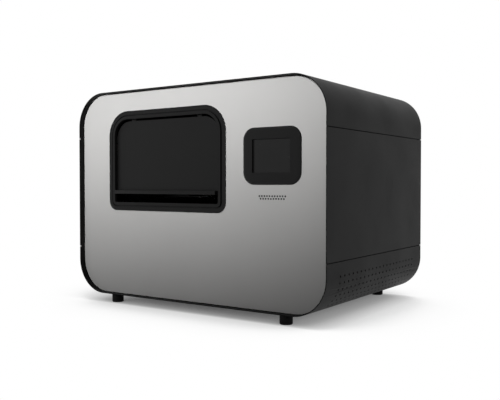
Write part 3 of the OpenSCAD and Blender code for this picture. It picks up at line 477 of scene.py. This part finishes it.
def softened(node, radius, segments):
    """A copy of a CAD node with its flat faces joined and its edges rounded, in the node's place."""
    mesh = frame["nodes"][node].data.copy()
    work = bmesh.new()
    work.from_mesh(mesh)
    bmesh.ops.remove_doubles(work, verts=work.verts, dist=MERGE_DISTANCE)
    bmesh.ops.dissolve_limit(work, angle_limit=FLAT_ANGLE, verts=work.verts, edges=work.edges)
    bevel_marks(work, radius)
    work.to_mesh(mesh)
    work.free()
    coated(mesh, finish_for(NODE_SLOT[node]))
    obj = shown(node + "_finished", mesh)
    edge = obj.modifiers.new("Soft edges", "BEVEL")
    edge.width = radius
    edge.segments = segments
    edge.limit_method = "WEIGHT"
    edge.use_clamp_overlap = True
    edge.harden_normals = True
    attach(obj, NODE_BODY[node])
    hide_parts(node)


def dress(nodes, radius, segments=EDGE_SEGMENTS):
    for node in nodes:
        softened(node, radius, segments)


def added(name, mesh, slot, body, finish=None):
    """A new small piece that rides a body, with its slot's finish or one of its own."""
    coated(mesh, finish or finish_for(slot))
    obj = shown(name, mesh)
    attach(obj, body)
    return obj


# Shapes that repeat, in millimetres. A spot is a place, the way it faces and the way along it.

WAYS = ("facing", "along")


def spots_mesh(name, spots):
    mesh = bpy.data.meshes.new(name)
    mesh.from_pydata([Vector(place) * MM for place, _, _ in spots], [], [])
    for index, label in enumerate(WAYS, 1):
        layer = mesh.attributes.new(label, "FLOAT_VECTOR", "POINT")
        layer.data.foreach_set("vector", [c for spot in spots for c in spot[index]])
    return mesh


def spot_tree(name, shape, labels):
    """A node tree that puts one shape on every spot, and the keys of its inputs."""
    tree = bpy.data.node_groups.new(name, "GeometryNodeTree")
    sockets = tree.interface
    sockets.new_socket("Geometry", in_out="OUTPUT", socket_type="NodeSocketGeometry")
    kinds = {"Spots": "Geometry", **dict.fromkeys(labels, "Float"), "Finish": "Material"}
    keys = {
        label: sockets.new_socket(label, in_out="INPUT", socket_type="NodeSocket" + kind).identifier
        for label, kind in kinds.items()
    }
    g = Graph(tree)
    given = g.node("NodeGroupInput", out="Spots")
    facing, along = (
        g.node("GeometryNodeInputNamedAttribute", {"data_type": "FLOAT_VECTOR"}, {"Name": label})
        for label in WAYS
    )
    turn = g.node(
        "FunctionNodeAxesToRotation", {"primary_axis": "Z", "secondary_axis": "X"},
        {"Primary Axis": facing, "Secondary Axis": along},
    )
    placed = g.node("GeometryNodeInstanceOnPoints", None, {
        "Points": given, "Instance": shape(g, {label: given.output(label) for label in labels}),
        "Rotation": turn,
    })
    solid = g.node("GeometryNodeRealizeInstances", None, {"Geometry": placed})
    painted = g.node(
        "GeometryNodeSetMaterial", None, {"Geometry": solid, "Material": given.output("Finish")},
    )
    g.node("NodeGroupOutput", None, {"Geometry": painted})
    return tree, keys


def repeated(name, shape, sizes, spots, slot, body):
    """One shape on every spot, made by a node tree and kept as a plain mesh."""
    tree, keys = spot_tree(name, shape, list(sizes))
    host = shown(name + "_spots", spots_mesh(name, spots))
    nodes = host.modifiers.new(name, "NODES")
    nodes.node_group = tree
    for label, value in sizes.items():
        nodes[keys[label]] = value * MM
    nodes[keys["Finish"]] = finish_for(slot)
    result = host.evaluated_get(bpy.context.evaluated_depsgraph_get())
    mesh = bpy.data.meshes.new_from_object(result)
    bpy.data.objects.remove(host)
    added(name, mesh, slot, body)


def turned(g, sides, radius, height):
    """A closed upright cylinder with its middle at z = 0, and the choice of its top."""
    solid = g.node(
        "GeometryNodeMeshCylinder", None, {"Vertices": sides, "Radius": radius, "Depth": height},
        out="Mesh",
    )
    return solid, solid.output("Top")


def stepped(g, solid, face, rise, scale):
    """A face pulled out by a height and scaled."""
    pulled = g.node(
        "GeometryNodeExtrudeMesh", None, {"Mesh": solid, "Selection": face, "Offset Scale": rise},
        out="Mesh",
    )
    top = pulled.output("Top")
    sized = g.node(
        "GeometryNodeScaleElements", None, {"Geometry": pulled, "Selection": top, "Scale": scale},
    )
    return sized, top


def moved(g, solid, x=0.0, y=0.0, z=0.0):
    move = g.node("ShaderNodeCombineXYZ", None, {"X": x, "Y": y, "Z": z})
    return g.node("GeometryNodeTransform", None, {"Geometry": solid, "Translation": move})


def hexed(g, solid, face):
    """A round face's rim drawn in to a hexagon."""
    x = g.node("ShaderNodeSeparateXYZ", None, {0: g.node("GeometryNodeInputPosition")}, out="X")
    y, z = x.output("Y"), x.output("Z")
    half_side = math.pi / 6
    turn = g.node("ShaderNodeMath", {"operation": "ARCTAN2"}, {0: y, 1: x}) % (2 * half_side) - half_side
    draw = math.cos(half_side) / g.node("ShaderNodeMath", {"operation": "COSINE"}, {0: turn})
    place = g.node("ShaderNodeCombineXYZ", None, {"X": x * draw, "Y": y * draw, "Z": z})
    return g.node(
        "GeometryNodeSetPosition", None, {"Geometry": solid, "Selection": face, "Position": place},
    )


# A screw head by shares of its height: the skirt, the rise and taper of each step, the socket and the lift
HEAD_SIDES = 24
HEAD_SKIRT = 0.5
HEAD_STEPS = ((0.3, 0.88), (0.2, 0.8), (0.0, 0.72))
SOCKET_DEPTH, SOCKET_TAPER = 0.6, 0.96
HEAD_LIFT = 0.22


def button_screw(g, size):
    """Button-head screw with a hexagon socket."""
    radius, height = size["Head Radius"], size["Head Height"]
    solid, top = turned(g, HEAD_SIDES, radius, height * HEAD_SKIRT)
    for rise, taper in HEAD_STEPS:
        solid, top = stepped(g, solid, top, height * rise, taper)
    solid, top = stepped(g, hexed(g, solid, top), top, height * -SOCKET_DEPTH, SOCKET_TAPER)
    return moved(g, solid, z=height * HEAD_LIFT)


# A die's rim by shares of its height: the rise and taper of each step, and the lift
SMALL_SIDES = 10
RIM_STEPS = ((0.0, 0.75), (-0.9, 0.6))
RIM_LIFT = 0.4


def die_ring(g, size):
    """Rim round a hollow that a dot is pressed into."""
    radius, height = size["Rim Radius"], size["Rim Height"]
    solid, top = turned(g, SMALL_SIDES, radius, height)
    for rise, taper in RIM_STEPS:
        solid, top = stepped(g, solid, top, height * rise, taper)
    return moved(g, solid, z=height * RIM_LIFT)


def round_tooth(g, size):
    """Round belt tooth, half sunk in the belt."""
    solid, _ = turned(g, SMALL_SIDES, size["Tooth Radius"], size["Belt Width"])
    return solid


def block(g, size, place):
    extent = g.node("ShaderNodeCombineXYZ", None, dict(zip("XYZ", size)))
    solid = g.node("GeometryNodeMeshCube", None, {"Size": extent}, out="Mesh")
    return moved(g, solid, *place)


def joined(g, *solids):
    return g.node("GeometryNodeJoinGeometry", None, {"Geometry": list(solids)})


def gull_lead(g, size):
    """Chip lead: out of the case, down and out along the board."""
    wide, long, high = size["Lead Width"], size["Lead Length"], size["Lead Height"]
    thick = wide * 0.4
    shoulder = block(g, (long * 0.5, wide, thick), (long * 0.1, 0.0, high))
    leg = block(g, (thick, wide, high), (long * 0.35, 0.0, high * 0.5))
    foot = block(g, (long * 0.65, wide, thick), (long * 0.65, 0.0, thick * 0.5))
    return joined(g, shoulder, leg, foot)


def chip_part(g, size):
    """Small two-ended part on the board."""
    long, wide, high = size["Part Length"], size["Part Width"], size["Part Height"]
    middle = block(g, (long * 0.6, wide * 0.94, high), (0.0, 0.0, high * 0.5))
    ends = (
        block(g, (long * 0.22, wide, high * 1.06), (long * place, 0.0, high * 0.53))
        for place in (0.39, -0.39)
    )
    return joined(g, middle, *ends)


def add_bar(work, low, high, radius):
    """A bar with rounded edges between two corners."""
    verts = bmesh.ops.create_cube(work, size=1.0)["verts"]
    bmesh.ops.scale(work, vec=high - low, verts=verts)
    bmesh.ops.translate(work, vec=(low + high) / 2, verts=verts)
    edges = {edge for vert in verts for edge in vert.link_edges}
    bmesh.ops.bevel(work, geom=list(edges), offset=radius, segments=EDGE_SEGMENTS, affect="EDGES")


def bars(name, spans, radius, slot, body, finish=None):
    work = bmesh.new()
    for low, high in spans:
        add_bar(work, Vector(low), Vector(high), radius)
    added(name, meshed(work, name), slot, body, finish)


def steps(first, last, pitch):
    """Evenly spaced values that fill a length."""
    count = int((last - first) / pitch)
    start = (first + last - count * pitch) / 2
    return [start + i * pitch for i in range(count + 1)]


# Casing and front

# Sizes of the dark strips in the seams, which are painted shade
SHADE_STRIP_THICK = 1.05 * MM
SHADE_STRIP_EASE = 0.1 * MM
SHADE_STRIP_END = 3.2 * MM


def seam_seals(sizes):
    """Spans of the soft dark strips at the bottom of the four long seams: painted shade, a dark sheet put
    in the seams' gaps.
    """
    lid_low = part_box("lid_cover")[0][2]
    tray_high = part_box("bottom_tray")[1][2]
    low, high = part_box("right_side_panel")
    outer = high[0] - sizes.seam_depth
    y = low[1] + SHADE_STRIP_END, high[1] - SHADE_STRIP_END
    for bottom in (lid_low - sizes.seam, tray_high):
        z = bottom + SHADE_STRIP_EASE, bottom + sizes.seam - SHADE_STRIP_EASE
        yield (outer - SHADE_STRIP_THICK, y[0], z[0]), (outer, y[1], z[1])
        yield (-outer, y[0], z[0]), (SHADE_STRIP_THICK - outer, y[1], z[1])


class EMBOSSER_OT_casing(bpy.types.Operator):
    """Lid, side panels, tray, rear panel, hinges and feet"""
    bl_idname = "embosser.casing"
    bl_label = "Casing"

    def execute(self, context):
        sizes = context.scene.embosser_sizes
        dress((
            "lid_cover", "left_side_panel", "right_side_panel", "rear_panel", "bottom_tray",
        ), sizes.sheet_edge)
        dress(("feet", "lid_bumpers"), sizes.moulded_edge, MOULDED_SEGMENTS)
        dress(("lid_hinge_leaves", "rear_hinge_leaves", "lid_hinge_pins"), sizes.machined_edge)
        # A dark strip with no gloss at the bottom of each seam: painted shade in the seams' gaps.
        seam_shade_finish = rubber("finish_seam_seal", tuple(context.scene.embosser_colours.foot_rubber), gloss=0.0)
        bars("seam_seals", seam_seals(sizes), sizes.sheet_edge / 2, "foot_rubber", "chassis", seam_shade_finish)
        return {"FINISHED"}


class EMBOSSER_OT_front(bpy.types.Operator):
    """Front plate, hatch, display and speaker"""
    bl_idname = "embosser.front"
    bl_label = "Front"

    def execute(self, context):
        sizes = context.scene.embosser_sizes
        dress(("front_plate",), sizes.sheet_edge)
        dress((
            "hatch_bezel", "hatch_flap", "display_bezel", "touch_screen", "speaker",
        ), sizes.moulded_edge, MOULDED_SEGMENTS)
        dress(("hatch_hinge_pins",), sizes.machined_edge)
        return {"FINISHED"}


# Lid liner, in millimetres. The valleys and the rim are shares of its depth.

FOAM_PITCH = 30.0
FOAM_STEP = 5.0
FOAM_VALLEY = 0.55
FOAM_RIM = 0.2
FOAM_EDGE = 7.0


def foam_share(x, y, low, high):
    """Thickness at a place as a share of the depth: waves both ways, rounded off along the rim."""
    wave = math.cos(math.tau * x / FOAM_PITCH) * math.cos(math.tau * y / FOAM_PITCH)
    near = min(x - low.x, high.x - x, y - low.y, high.y - y, FOAM_EDGE) / FOAM_EDGE
    crown = FOAM_RIM + (1 - FOAM_RIM) * math.sqrt(1 - (1 - near) ** 2)
    return (FOAM_VALLEY + (1 - FOAM_VALLEY) * (0.5 + 0.5 * wave)) * crown


def foam_waves(work, low, high):
    """The waved underside, as rows of points joined by faces."""
    nx, ny = (round((high[i] - low[i]) / FOAM_STEP) for i in (0, 1))
    rows = []
    for j in range(ny + 1):
        y = low.y + (high.y - low.y) * j / ny
        row = []
        for i in range(nx + 1):
            x = low.x + (high.x - low.x) * i / nx
            z = high.z - (high.z - low.z) * foam_share(x, y, low, high)
            row.append(work.verts.new(Vector((x, y, z)) * MM))
        rows.append(row)
    for row, after in zip(rows, rows[1:]):
        for i in range(nx):
            work.faces.new((row[i], after[i], after[i + 1], row[i + 1]))
    return rows


def foam_back(work, rows, height):
    """The flat back and the walls that close the foam."""
    rim = rows[0][:-1] + [row[-1] for row in rows[:-1]]
    rim += rows[-1][:0:-1] + [row[0] for row in rows[:0:-1]]
    top = [work.verts.new((v.co.x, v.co.y, height)) for v in rim]
    work.faces.new(top)
    for k, vert in enumerate(rim):
        after = (k + 1) % len(rim)
        work.faces.new((vert, rim[after], top[after], top[k]))


class EMBOSSER_OT_liner(bpy.types.Operator):
    """Convoluted foam under the lid"""
    bl_idname = "embosser.liner"
    bl_label = "Lid liner"

    def execute(self, context):
        low, high = corners("lid_liner")
        work = bmesh.new()
        foam_back(work, foam_waves(work, low, high), high.z * MM)
        bmesh.ops.recalc_face_normals(work, faces=work.faces)
        mesh = meshed(work, "lid_liner_foam")
        foam_pad = added("lid_liner_foam", mesh, "liner_foam", NODE_BODY["lid_liner"])
        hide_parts("lid_liner")
        return {"FINISHED"}


# Mechanism

class EMBOSSER_OT_chassis(bpy.types.Operator):
    """Frames, rails, plates and paper guides"""
    bl_idname = "embosser.chassis"
    bl_label = "Chassis"

    def execute(self, context):
        dress((
            "base_plate", "front_frame", "rear_frame", "side_rails", "left_mech_plate", "right_mech_plate",
            "belt_brackets", "infeed_guide", "outfeed_guide",
        ), context.scene.embosser_sizes.sheet_edge)
        return {"FINISHED"}


class EMBOSSER_OT_paper_feed(bpy.types.Operator):
    """Tractors, their shafts and the feed drive"""
    bl_idname = "embosser.paper_feed"
    bl_label = "Paper feed"

    def execute(self, context):
        sizes = context.scene.embosser_sizes
        dress((
            "left_tractor", "right_tractor", "left_gate", "right_gate", "left_lock_lever",
            "right_lock_lever", "left_sprocket", "right_sprocket", "left_pin_belt", "right_pin_belt",
            "feed_belt",
        ), sizes.moulded_edge * SMALL_MOULDING)
        dress((
            "tractor_shaft", "support_shaft", "shaft_bushes", "feed_motor", "motor_pulley", "shaft_pulley",
        ), sizes.machined_edge)
        return {"FINISHED"}


DOT_PITCH = 2.5
DOT_ROWS = (-1, 0, 1)
RIM_SIZES = {"Rim Radius": 1.1, "Rim Height": 0.3}
DIE_WIDTH = 11.6
DIE_DEPTH = 2.6
DIE_SINK = 0.4
DIE_EASE = 0.5
DIE_MARGIN = 12
BELT_THICK = 1.5
TOOTH_PITCH = 5.0
TOOTH_RADIUS = 0.9
TOOTH_EASE = 0.3


def add_die_strip(edge):
    """The strip let into the anvil, with a rim round every hollow."""
    low, high = corners("anvil_bar")
    centre = (low + high) / 2
    centre.z = high.z - DIE_SINK
    dots = [
        ((x, centre.y + row * DOT_PITCH, centre.z), Z, X)
        for x in steps(low.x + DIE_MARGIN, high.x - DIE_MARGIN, DOT_PITCH) for row in DOT_ROWS
    ]
    repeated("die_rings", die_ring, RIM_SIZES, dots, "shaft_steel", "chassis")
    half = Vector(((high.x - low.x) / 2 - DIE_EASE, DIE_WIDTH / 2, 0))
    span = (centre - half - Z * DIE_DEPTH) * MM, (centre + half) * MM
    bars("die_strip", [span], edge, "bronze_bush", "chassis")


def add_belt_teeth():
    """Teeth inside the two straight runs of the carriage belt."""
    low, high = corners("carriage_belt")
    centre = (low + high) / 2
    half = (high.z - low.z) / 2
    teeth = [
        ((x, centre.y, centre.z + side * (half - BELT_THICK)), Y, X)
        for side in (1, -1) for x in steps(low.x + half, high.x - half, TOOTH_PITCH)
    ]
    sizes = {"Tooth Radius": TOOTH_RADIUS, "Belt Width": high.y - low.y - 2 * TOOTH_EASE}
    repeated("carriage_belt_teeth", round_tooth, sizes, teeth, "foot_rubber", "chassis")


class EMBOSSER_OT_head(bpy.types.Operator):
    """Embossing carriage, its rods and drive, and the die strip"""
    bl_idname = "embosser.head"
    bl_label = "Embossing head"

    def execute(self, context):
        sizes = context.scene.embosser_sizes
        dress((
            "guide_rods", "carriage", "solenoids", "emboss_pins", "anvil_bar", "carriage_motor",
            "drive_pulley", "idler_pulley", "carriage_belt",
        ), sizes.machined_edge)
        add_die_strip(sizes.machined_edge)
        add_belt_teeth()
        return {"FINISHED"}


# Electronics, in millimetres. The chips' place and the band of parts are shares of the board's width.

SEED = 11
BOARD_RISE = 16
CHIP_COUNT = 4
CHIP_PLACE = 0.3
LEAD_REACH = 14
LEAD_RUN = 12
LEAD_PITCH = 2.0
LEAD_SIZES = {"Lead Width": 0.8, "Lead Length": 2.6, "Lead Height": 2.4}
PART_COUNT = 70
PART_MARGIN = 20
EDGE_START, EDGE_WIDTH = 12, 10
BAND_START, BAND_WIDTH = 0.47, 0.2
PART_SIZES = {"Part Length": 3.6, "Part Width": 1.8, "Part Height": 0.9}


def add_chip_leads(low, high):
    """Two rows of leads on each of the chips that stand in line along the board."""
    chip_x = low.x + CHIP_PLACE * (high.x - low.x)
    pitch = (high.y - low.y) / (CHIP_COUNT + 1)
    leads = [
        ((chip_x + side * LEAD_REACH, low.y + i * pitch + y, low.z + BOARD_RISE), Z, X * side)
        for i in range(1, CHIP_COUNT + 1) for side in (-1, 1)
        for y in steps(-LEAD_RUN, LEAD_RUN, LEAD_PITCH)
    ]
    repeated("chip_leads", gull_lead, LEAD_SIZES, leads, "port_metal", "chassis")


def add_board_parts(low, high):
    """Small parts strewn along the board's edge and in a band beside the chips."""
    wide, long = high.x - low.x, high.y - low.y
    rng = random.Random(SEED)
    parts = []
    for _ in range(PART_COUNT):
        x = rng.choice((
            low.x + EDGE_START + rng.random() * EDGE_WIDTH,
            low.x + wide * (BAND_START + BAND_WIDTH * rng.random()),
        ))
        y = low.y + PART_MARGIN + rng.random() * (long - 2 * PART_MARGIN)
        parts.append(((x, y, low.z + BOARD_RISE), Z, rng.choice((X, Y))))
    repeated("board_parts", chip_part, PART_SIZES, parts, "black_lacquer", "chassis")


class EMBOSSER_OT_electronics(bpy.types.Operator):
    """Power supply, control board, fan, mains inlet and ports"""
    bl_idname = "embosser.electronics"
    bl_label = "Electronics"

    def execute(self, context):
        sizes = context.scene.embosser_sizes
        dress(("power_supply", "data_ports"), sizes.sheet_edge)
        dress((
            "control_board", "fan_frame", "fan_rotor", "power_inlet", "power_switch",
        ), sizes.machined_edge)
        board = corners("control_board")
        add_chip_leads(*board)
        add_board_parts(*board)
        return {"FINISHED"}


# Fasteners, in millimetres. The head's height is a share of its radius, the board's inset one of its width.

SCREW_RADIUS = 3.8
HEAD_RATIO = 0.6
PANEL_INSET = 14
PANEL_TOP_X = (-320, -150, 0, 150, 320)
PANEL_FOOT_X = (-300, -150, 0, 180, 300)
PANEL_SIDE_Z = (150, 260, 400, 520)
FAN_INSET = 7.5
HINGE_X = 250
HINGE_SCREWS_X = (-32, 0, 32)
LEAF_THICK = 3
LEAF_RISE = 14
FLANGE_THICK = 5
FLANGE_REACH = 22
FLANGE_Y = (-225, -110, 25, 155)
MOTOR_HOLES = (-23.5, 23.5)
BRACKET_THICK = 5
BOARD_INSET = 0.06
CARRIAGE_INSET = 8
CARRIAGE_REACH = 112


def rear_screws():
    """Screws of the rear panel, the fan and the lid's hinges: name, places, facing and changes."""
    low, high = corners("rear_panel")
    rear = high.y
    edge = [(x, rear, high.z - PANEL_INSET) for x in PANEL_TOP_X]
    edge += [(x, rear, low.z + PANEL_INSET) for x in PANEL_FOOT_X]
    edge += [(x, rear, z) for x in (low.x + PANEL_INSET, high.x - PANEL_INSET) for z in PANEL_SIDE_Z]
    yield "rear_panel_screws", edge, Y, {"slot": "black_lacquer"}
    low, high = corners("fan_frame")
    guard = [
        (x, high.y, z)
        for x in (low.x + FAN_INSET, high.x - FAN_INSET) for z in (low.z + FAN_INSET, high.z - FAN_INSET)
    ]
    yield "fan_screws", guard, Y, {"radius": 3.2}
    height = corners("rear_hinge_leaves")[0].z + LEAF_RISE
    hinges = [(side * HINGE_X + x, rear + LEAF_THICK, height) for side in (-1, 1) for x in HINGE_SCREWS_X]
    yield "hinge_screws", hinges, Y, {}


def inner_screws():
    """Screws of the mechanism plates, motors, board and carriage: name, places, facing and changes."""
    left, right = corners("left_mech_plate")[0].x, corners("right_mech_plate")[1].x
    height = corners("base_plate")[1].z + FLANGE_THICK
    flanges = [(x, y, height) for x in (left + FLANGE_REACH, right - FLANGE_REACH) for y in FLANGE_Y]
    yield "plate_screws", flanges, Z, {}
    low, high = corners("feed_motor")
    middle = (low + high) / 2
    motor = [(right, middle.y + a, middle.z + b) for a in MOTOR_HOLES for b in MOTOR_HOLES]
    yield "feed_motor_screws", motor, X, {"radius": 4.2}
    low, high = corners("carriage_motor")
    middle = (low + high) / 2
    face = corners("belt_brackets")[1].y - BRACKET_THICK
    motor = [(middle.x + a, face, middle.z + b) for a in MOTOR_HOLES for b in MOTOR_HOLES]
    yield "carriage_motor_screws", motor, -Y, {"radius": 3.4}
    low, high = corners("control_board")
    inset = BOARD_INSET * (high.x - low.x)
    board = [
        (x, y, low.z + BOARD_RISE)
        for x in (low.x + inset, high.x - inset) for y in (low.y + inset, high.y - inset)
    ]
    yield "board_screws", board, Z, {"radius": 3.0}
    low, high = corners("carriage")
    top = corners("solenoids")[0].z
    head = [
        (x, low.y + reach, top)
        for x in (low.x + CARRIAGE_INSET, high.x - CARRIAGE_INSET)
        for reach in (CARRIAGE_INSET, CARRIAGE_REACH)
    ]
    yield "carriage_screws", head, Z, {"radius": 3.4, "body": NODE_BODY["carriage"]}


def add_screws(rng, name, places, facing, radius=SCREW_RADIUS, slot="shaft_steel", body="chassis"):
    """Screws whose sockets are turned at random."""
    across = X if abs(facing.x) < 0.5 else Y
    spots = []
    for place in places:
        angle = rng.random() * math.tau
        along = across * math.cos(angle) + facing.cross(across) * math.sin(angle)
        spots.append((place, facing, along))
    sizes = {"Head Radius": radius, "Head Height": radius * HEAD_RATIO}
    repeated(name, button_screw, sizes, spots, slot, body)


class EMBOSSER_OT_fasteners(bpy.types.Operator):
    """Button-head screws"""
    bl_idname = "embosser.fasteners"
    bl_label = "Fasteners"

    def execute(self, context):
        rng = random.Random(SEED)
        for name, places, facing, changes in (*rear_screws(), *inner_screws()):
            add_screws(rng, name, places, facing, **changes)
        return {"FINISHED"}


# Stage, in metres, with the camera's sensor in millimetres

SENSOR_WIDTH = 36.0
CAMERA_REACH = 100.0
FLOOR_SIZE = 60.0
FLOOR_PALE = 0.9
FLOOR_BOUNCE = 0.08
SHADOW_REACH = 0.42
SHADOW_SAMPLES = 32
SHADOW_LEAN = (0.1, -0.04, 1.0)
# How open the sky is over the floor, and how bright the painted shadow leaves the floor's glow there
SHADOW_STOPS = (
    (0.0, 0.04), (0.05, 0.18), (0.1, 0.25), (0.2, 0.31), (0.3, 0.43), (0.4, 0.53), (0.5, 0.62),
    (0.6, 0.735), (0.65, 0.86), (0.7, 0.94), (0.75, 0.976), (0.85, 0.998), (0.9, 1.0),
)
WORLD_FILL = 0.035
LAMPS = (
    # name, place, target, width, height, power in watts, spread in degrees
    ("front_strip", (0.15, -2.29, 0.98), (-0.45, -0.3, 0.656), 1.83, 0.27, 5.2, 42.7),
    ("top_box", (0.1, 0.6, 2.3), (0.0, 0.2, 0.6), 2.0, 1.4, 22.0, 180),
    ("back_box", (-0.8, 2.4, 1.3), (0.0, 0.3, 0.35), 1.6, 1.2, 45.0, 180),
)


def make_camera(stage):
    data = bpy.data.cameras.new("camera")
    data.sensor_width = SENSOR_WIDTH
    data.lens = stage.camera_lens
    data.clip_end = CAMERA_REACH
    camera = shown("camera", data)
    camera.location = stage.camera_place
    camera.rotation_euler = (math.pi / 2 - stage.camera_dip, 0.0, stage.camera_turn)
    bpy.context.scene.camera = camera


def make_floor():
    """A pale floor that glows for the camera and in reflections, with a painted soft shadow round the
    machine, taken from how open the sky is over each point, and white beyond it.
    """
    work = bmesh.new()
    bmesh.ops.create_grid(work, x_segments=1, y_segments=1, size=FLOOR_SIZE / 2)
    mesh = meshed(work, "floor")
    f = Finish("floor")
    seen = f.seen_directly()
    tone = f.spread(seen, 0.0, 1.0, FLOOR_BOUNCE, FLOOR_PALE)
    pale = f.node("ShaderNodeBsdfDiffuse", None, {"Color": f.tint(tone, BLACK, WHITE)})
    lean = f.node("ShaderNodeCombineXYZ", None, dict(zip("XYZ", Vector(SHADOW_LEAN).normalized())))
    open_sky = f.node(
        "ShaderNodeAmbientOcclusion", {"samples": SHADOW_SAMPLES},
        {"Distance": SHADOW_REACH, "Normal": lean}, out="AO",
    )
    # Painted shadow: the floor's glow is darkened by a ramp of how open the sky is over each point, not by
    # the lamps.
    shadow = f.node("ShaderNodeValToRGB", {"stops": SHADOW_STOPS}, {"Fac": open_sky})
    painted_shadow_glow = f.node("ShaderNodeEmission", None, {"Color": shadow})
    mesh.materials.append(f.show(f.node("ShaderNodeMixShader", None, {0: seen, 1: pale, 2: painted_shadow_glow})))
    shown("floor", mesh)


def make_lamps():
    for name, place, target, width, height, power, spread in LAMPS:
        data = bpy.data.lights.new(name, "AREA")
        data.shape = "RECTANGLE"
        data.size = width
        data.size_y = height
        data.energy = power
        data.spread = math.radians(spread)
        lamp = shown(name, data)
        lamp.location = place
        lamp.visible_camera = False
        lamp.visible_glossy = False
        aim = Vector(target) - Vector(place)
        lamp.rotation_euler = aim.to_track_quat("-Z", "Y").to_euler()


def make_world():
    """White where it is seen or mirrored, a low even fill for everything else."""
    world = bpy.data.worlds.new("studio")
    world.use_nodes = True
    bpy.context.scene.world = world
    g = Graph(world.node_tree)
    fill = g.node("ShaderNodeBackground", None, {"Color": WHITE, "Strength": WORLD_FILL})
    white = g.node("ShaderNodeBackground", None, {"Color": WHITE, "Strength": 1.0})
    mixed = g.node("ShaderNodeMixShader", None, {0: g.seen_directly(), 1: fill, 2: white})
    g.node("ShaderNodeOutputWorld", None, {"Surface": mixed})


class EMBOSSER_OT_stage(bpy.types.Operator):
    """Camera, floor, lamps and world"""
    bl_idname = "embosser.stage"
    bl_label = "Stage"

    def execute(self, context):
        make_camera(context.scene.embosser_stage)
        make_floor()
        make_lamps()
        make_world()
        context.scene.view_settings.view_transform = "Standard"
        return {"FINISHED"}


class EMBOSSER_PT_sidebar(bpy.types.Panel):
    """Lists the steps that dress the embosser"""
    bl_idname = "EMBOSSER_PT_sidebar"
    bl_label = "Braille embosser"
    bl_space_type = "VIEW_3D"
    bl_region_type = "UI"
    bl_category = "Embosser"

    def draw(self, context):
        for operator in OPERATORS:
            self.layout.operator(operator.bl_idname)


GROUPS = {
    "embosser_colours": EmbosserColours,
    "embosser_sizes": EmbosserSizes,
    "embosser_stage": EmbosserStage,
}
OPERATORS = (
    EMBOSSER_OT_casing, EMBOSSER_OT_front, EMBOSSER_OT_liner, EMBOSSER_OT_chassis, EMBOSSER_OT_paper_feed,
    EMBOSSER_OT_head, EMBOSSER_OT_electronics, EMBOSSER_OT_fasteners, EMBOSSER_OT_stage,
)
CLASSES = (*GROUPS.values(), *OPERATORS, EMBOSSER_PT_sidebar)


def register():
    for cls in CLASSES:
        bpy.utils.register_class(cls)
    for name, group in GROUPS.items():
        setattr(bpy.types.Scene, name, bpy.props.PointerProperty(type=group))


def unregister():
    for name in GROUPS:
        delattr(bpy.types.Scene, name)
    for cls in reversed(CLASSES):
        bpy.utils.unregister_class(cls)


def main():
    register()
    for operator in OPERATORS:
        group, name = operator.bl_idname.split(".")
        getattr(getattr(bpy.ops, group), name)()


if __name__ == "__main__":
    main()
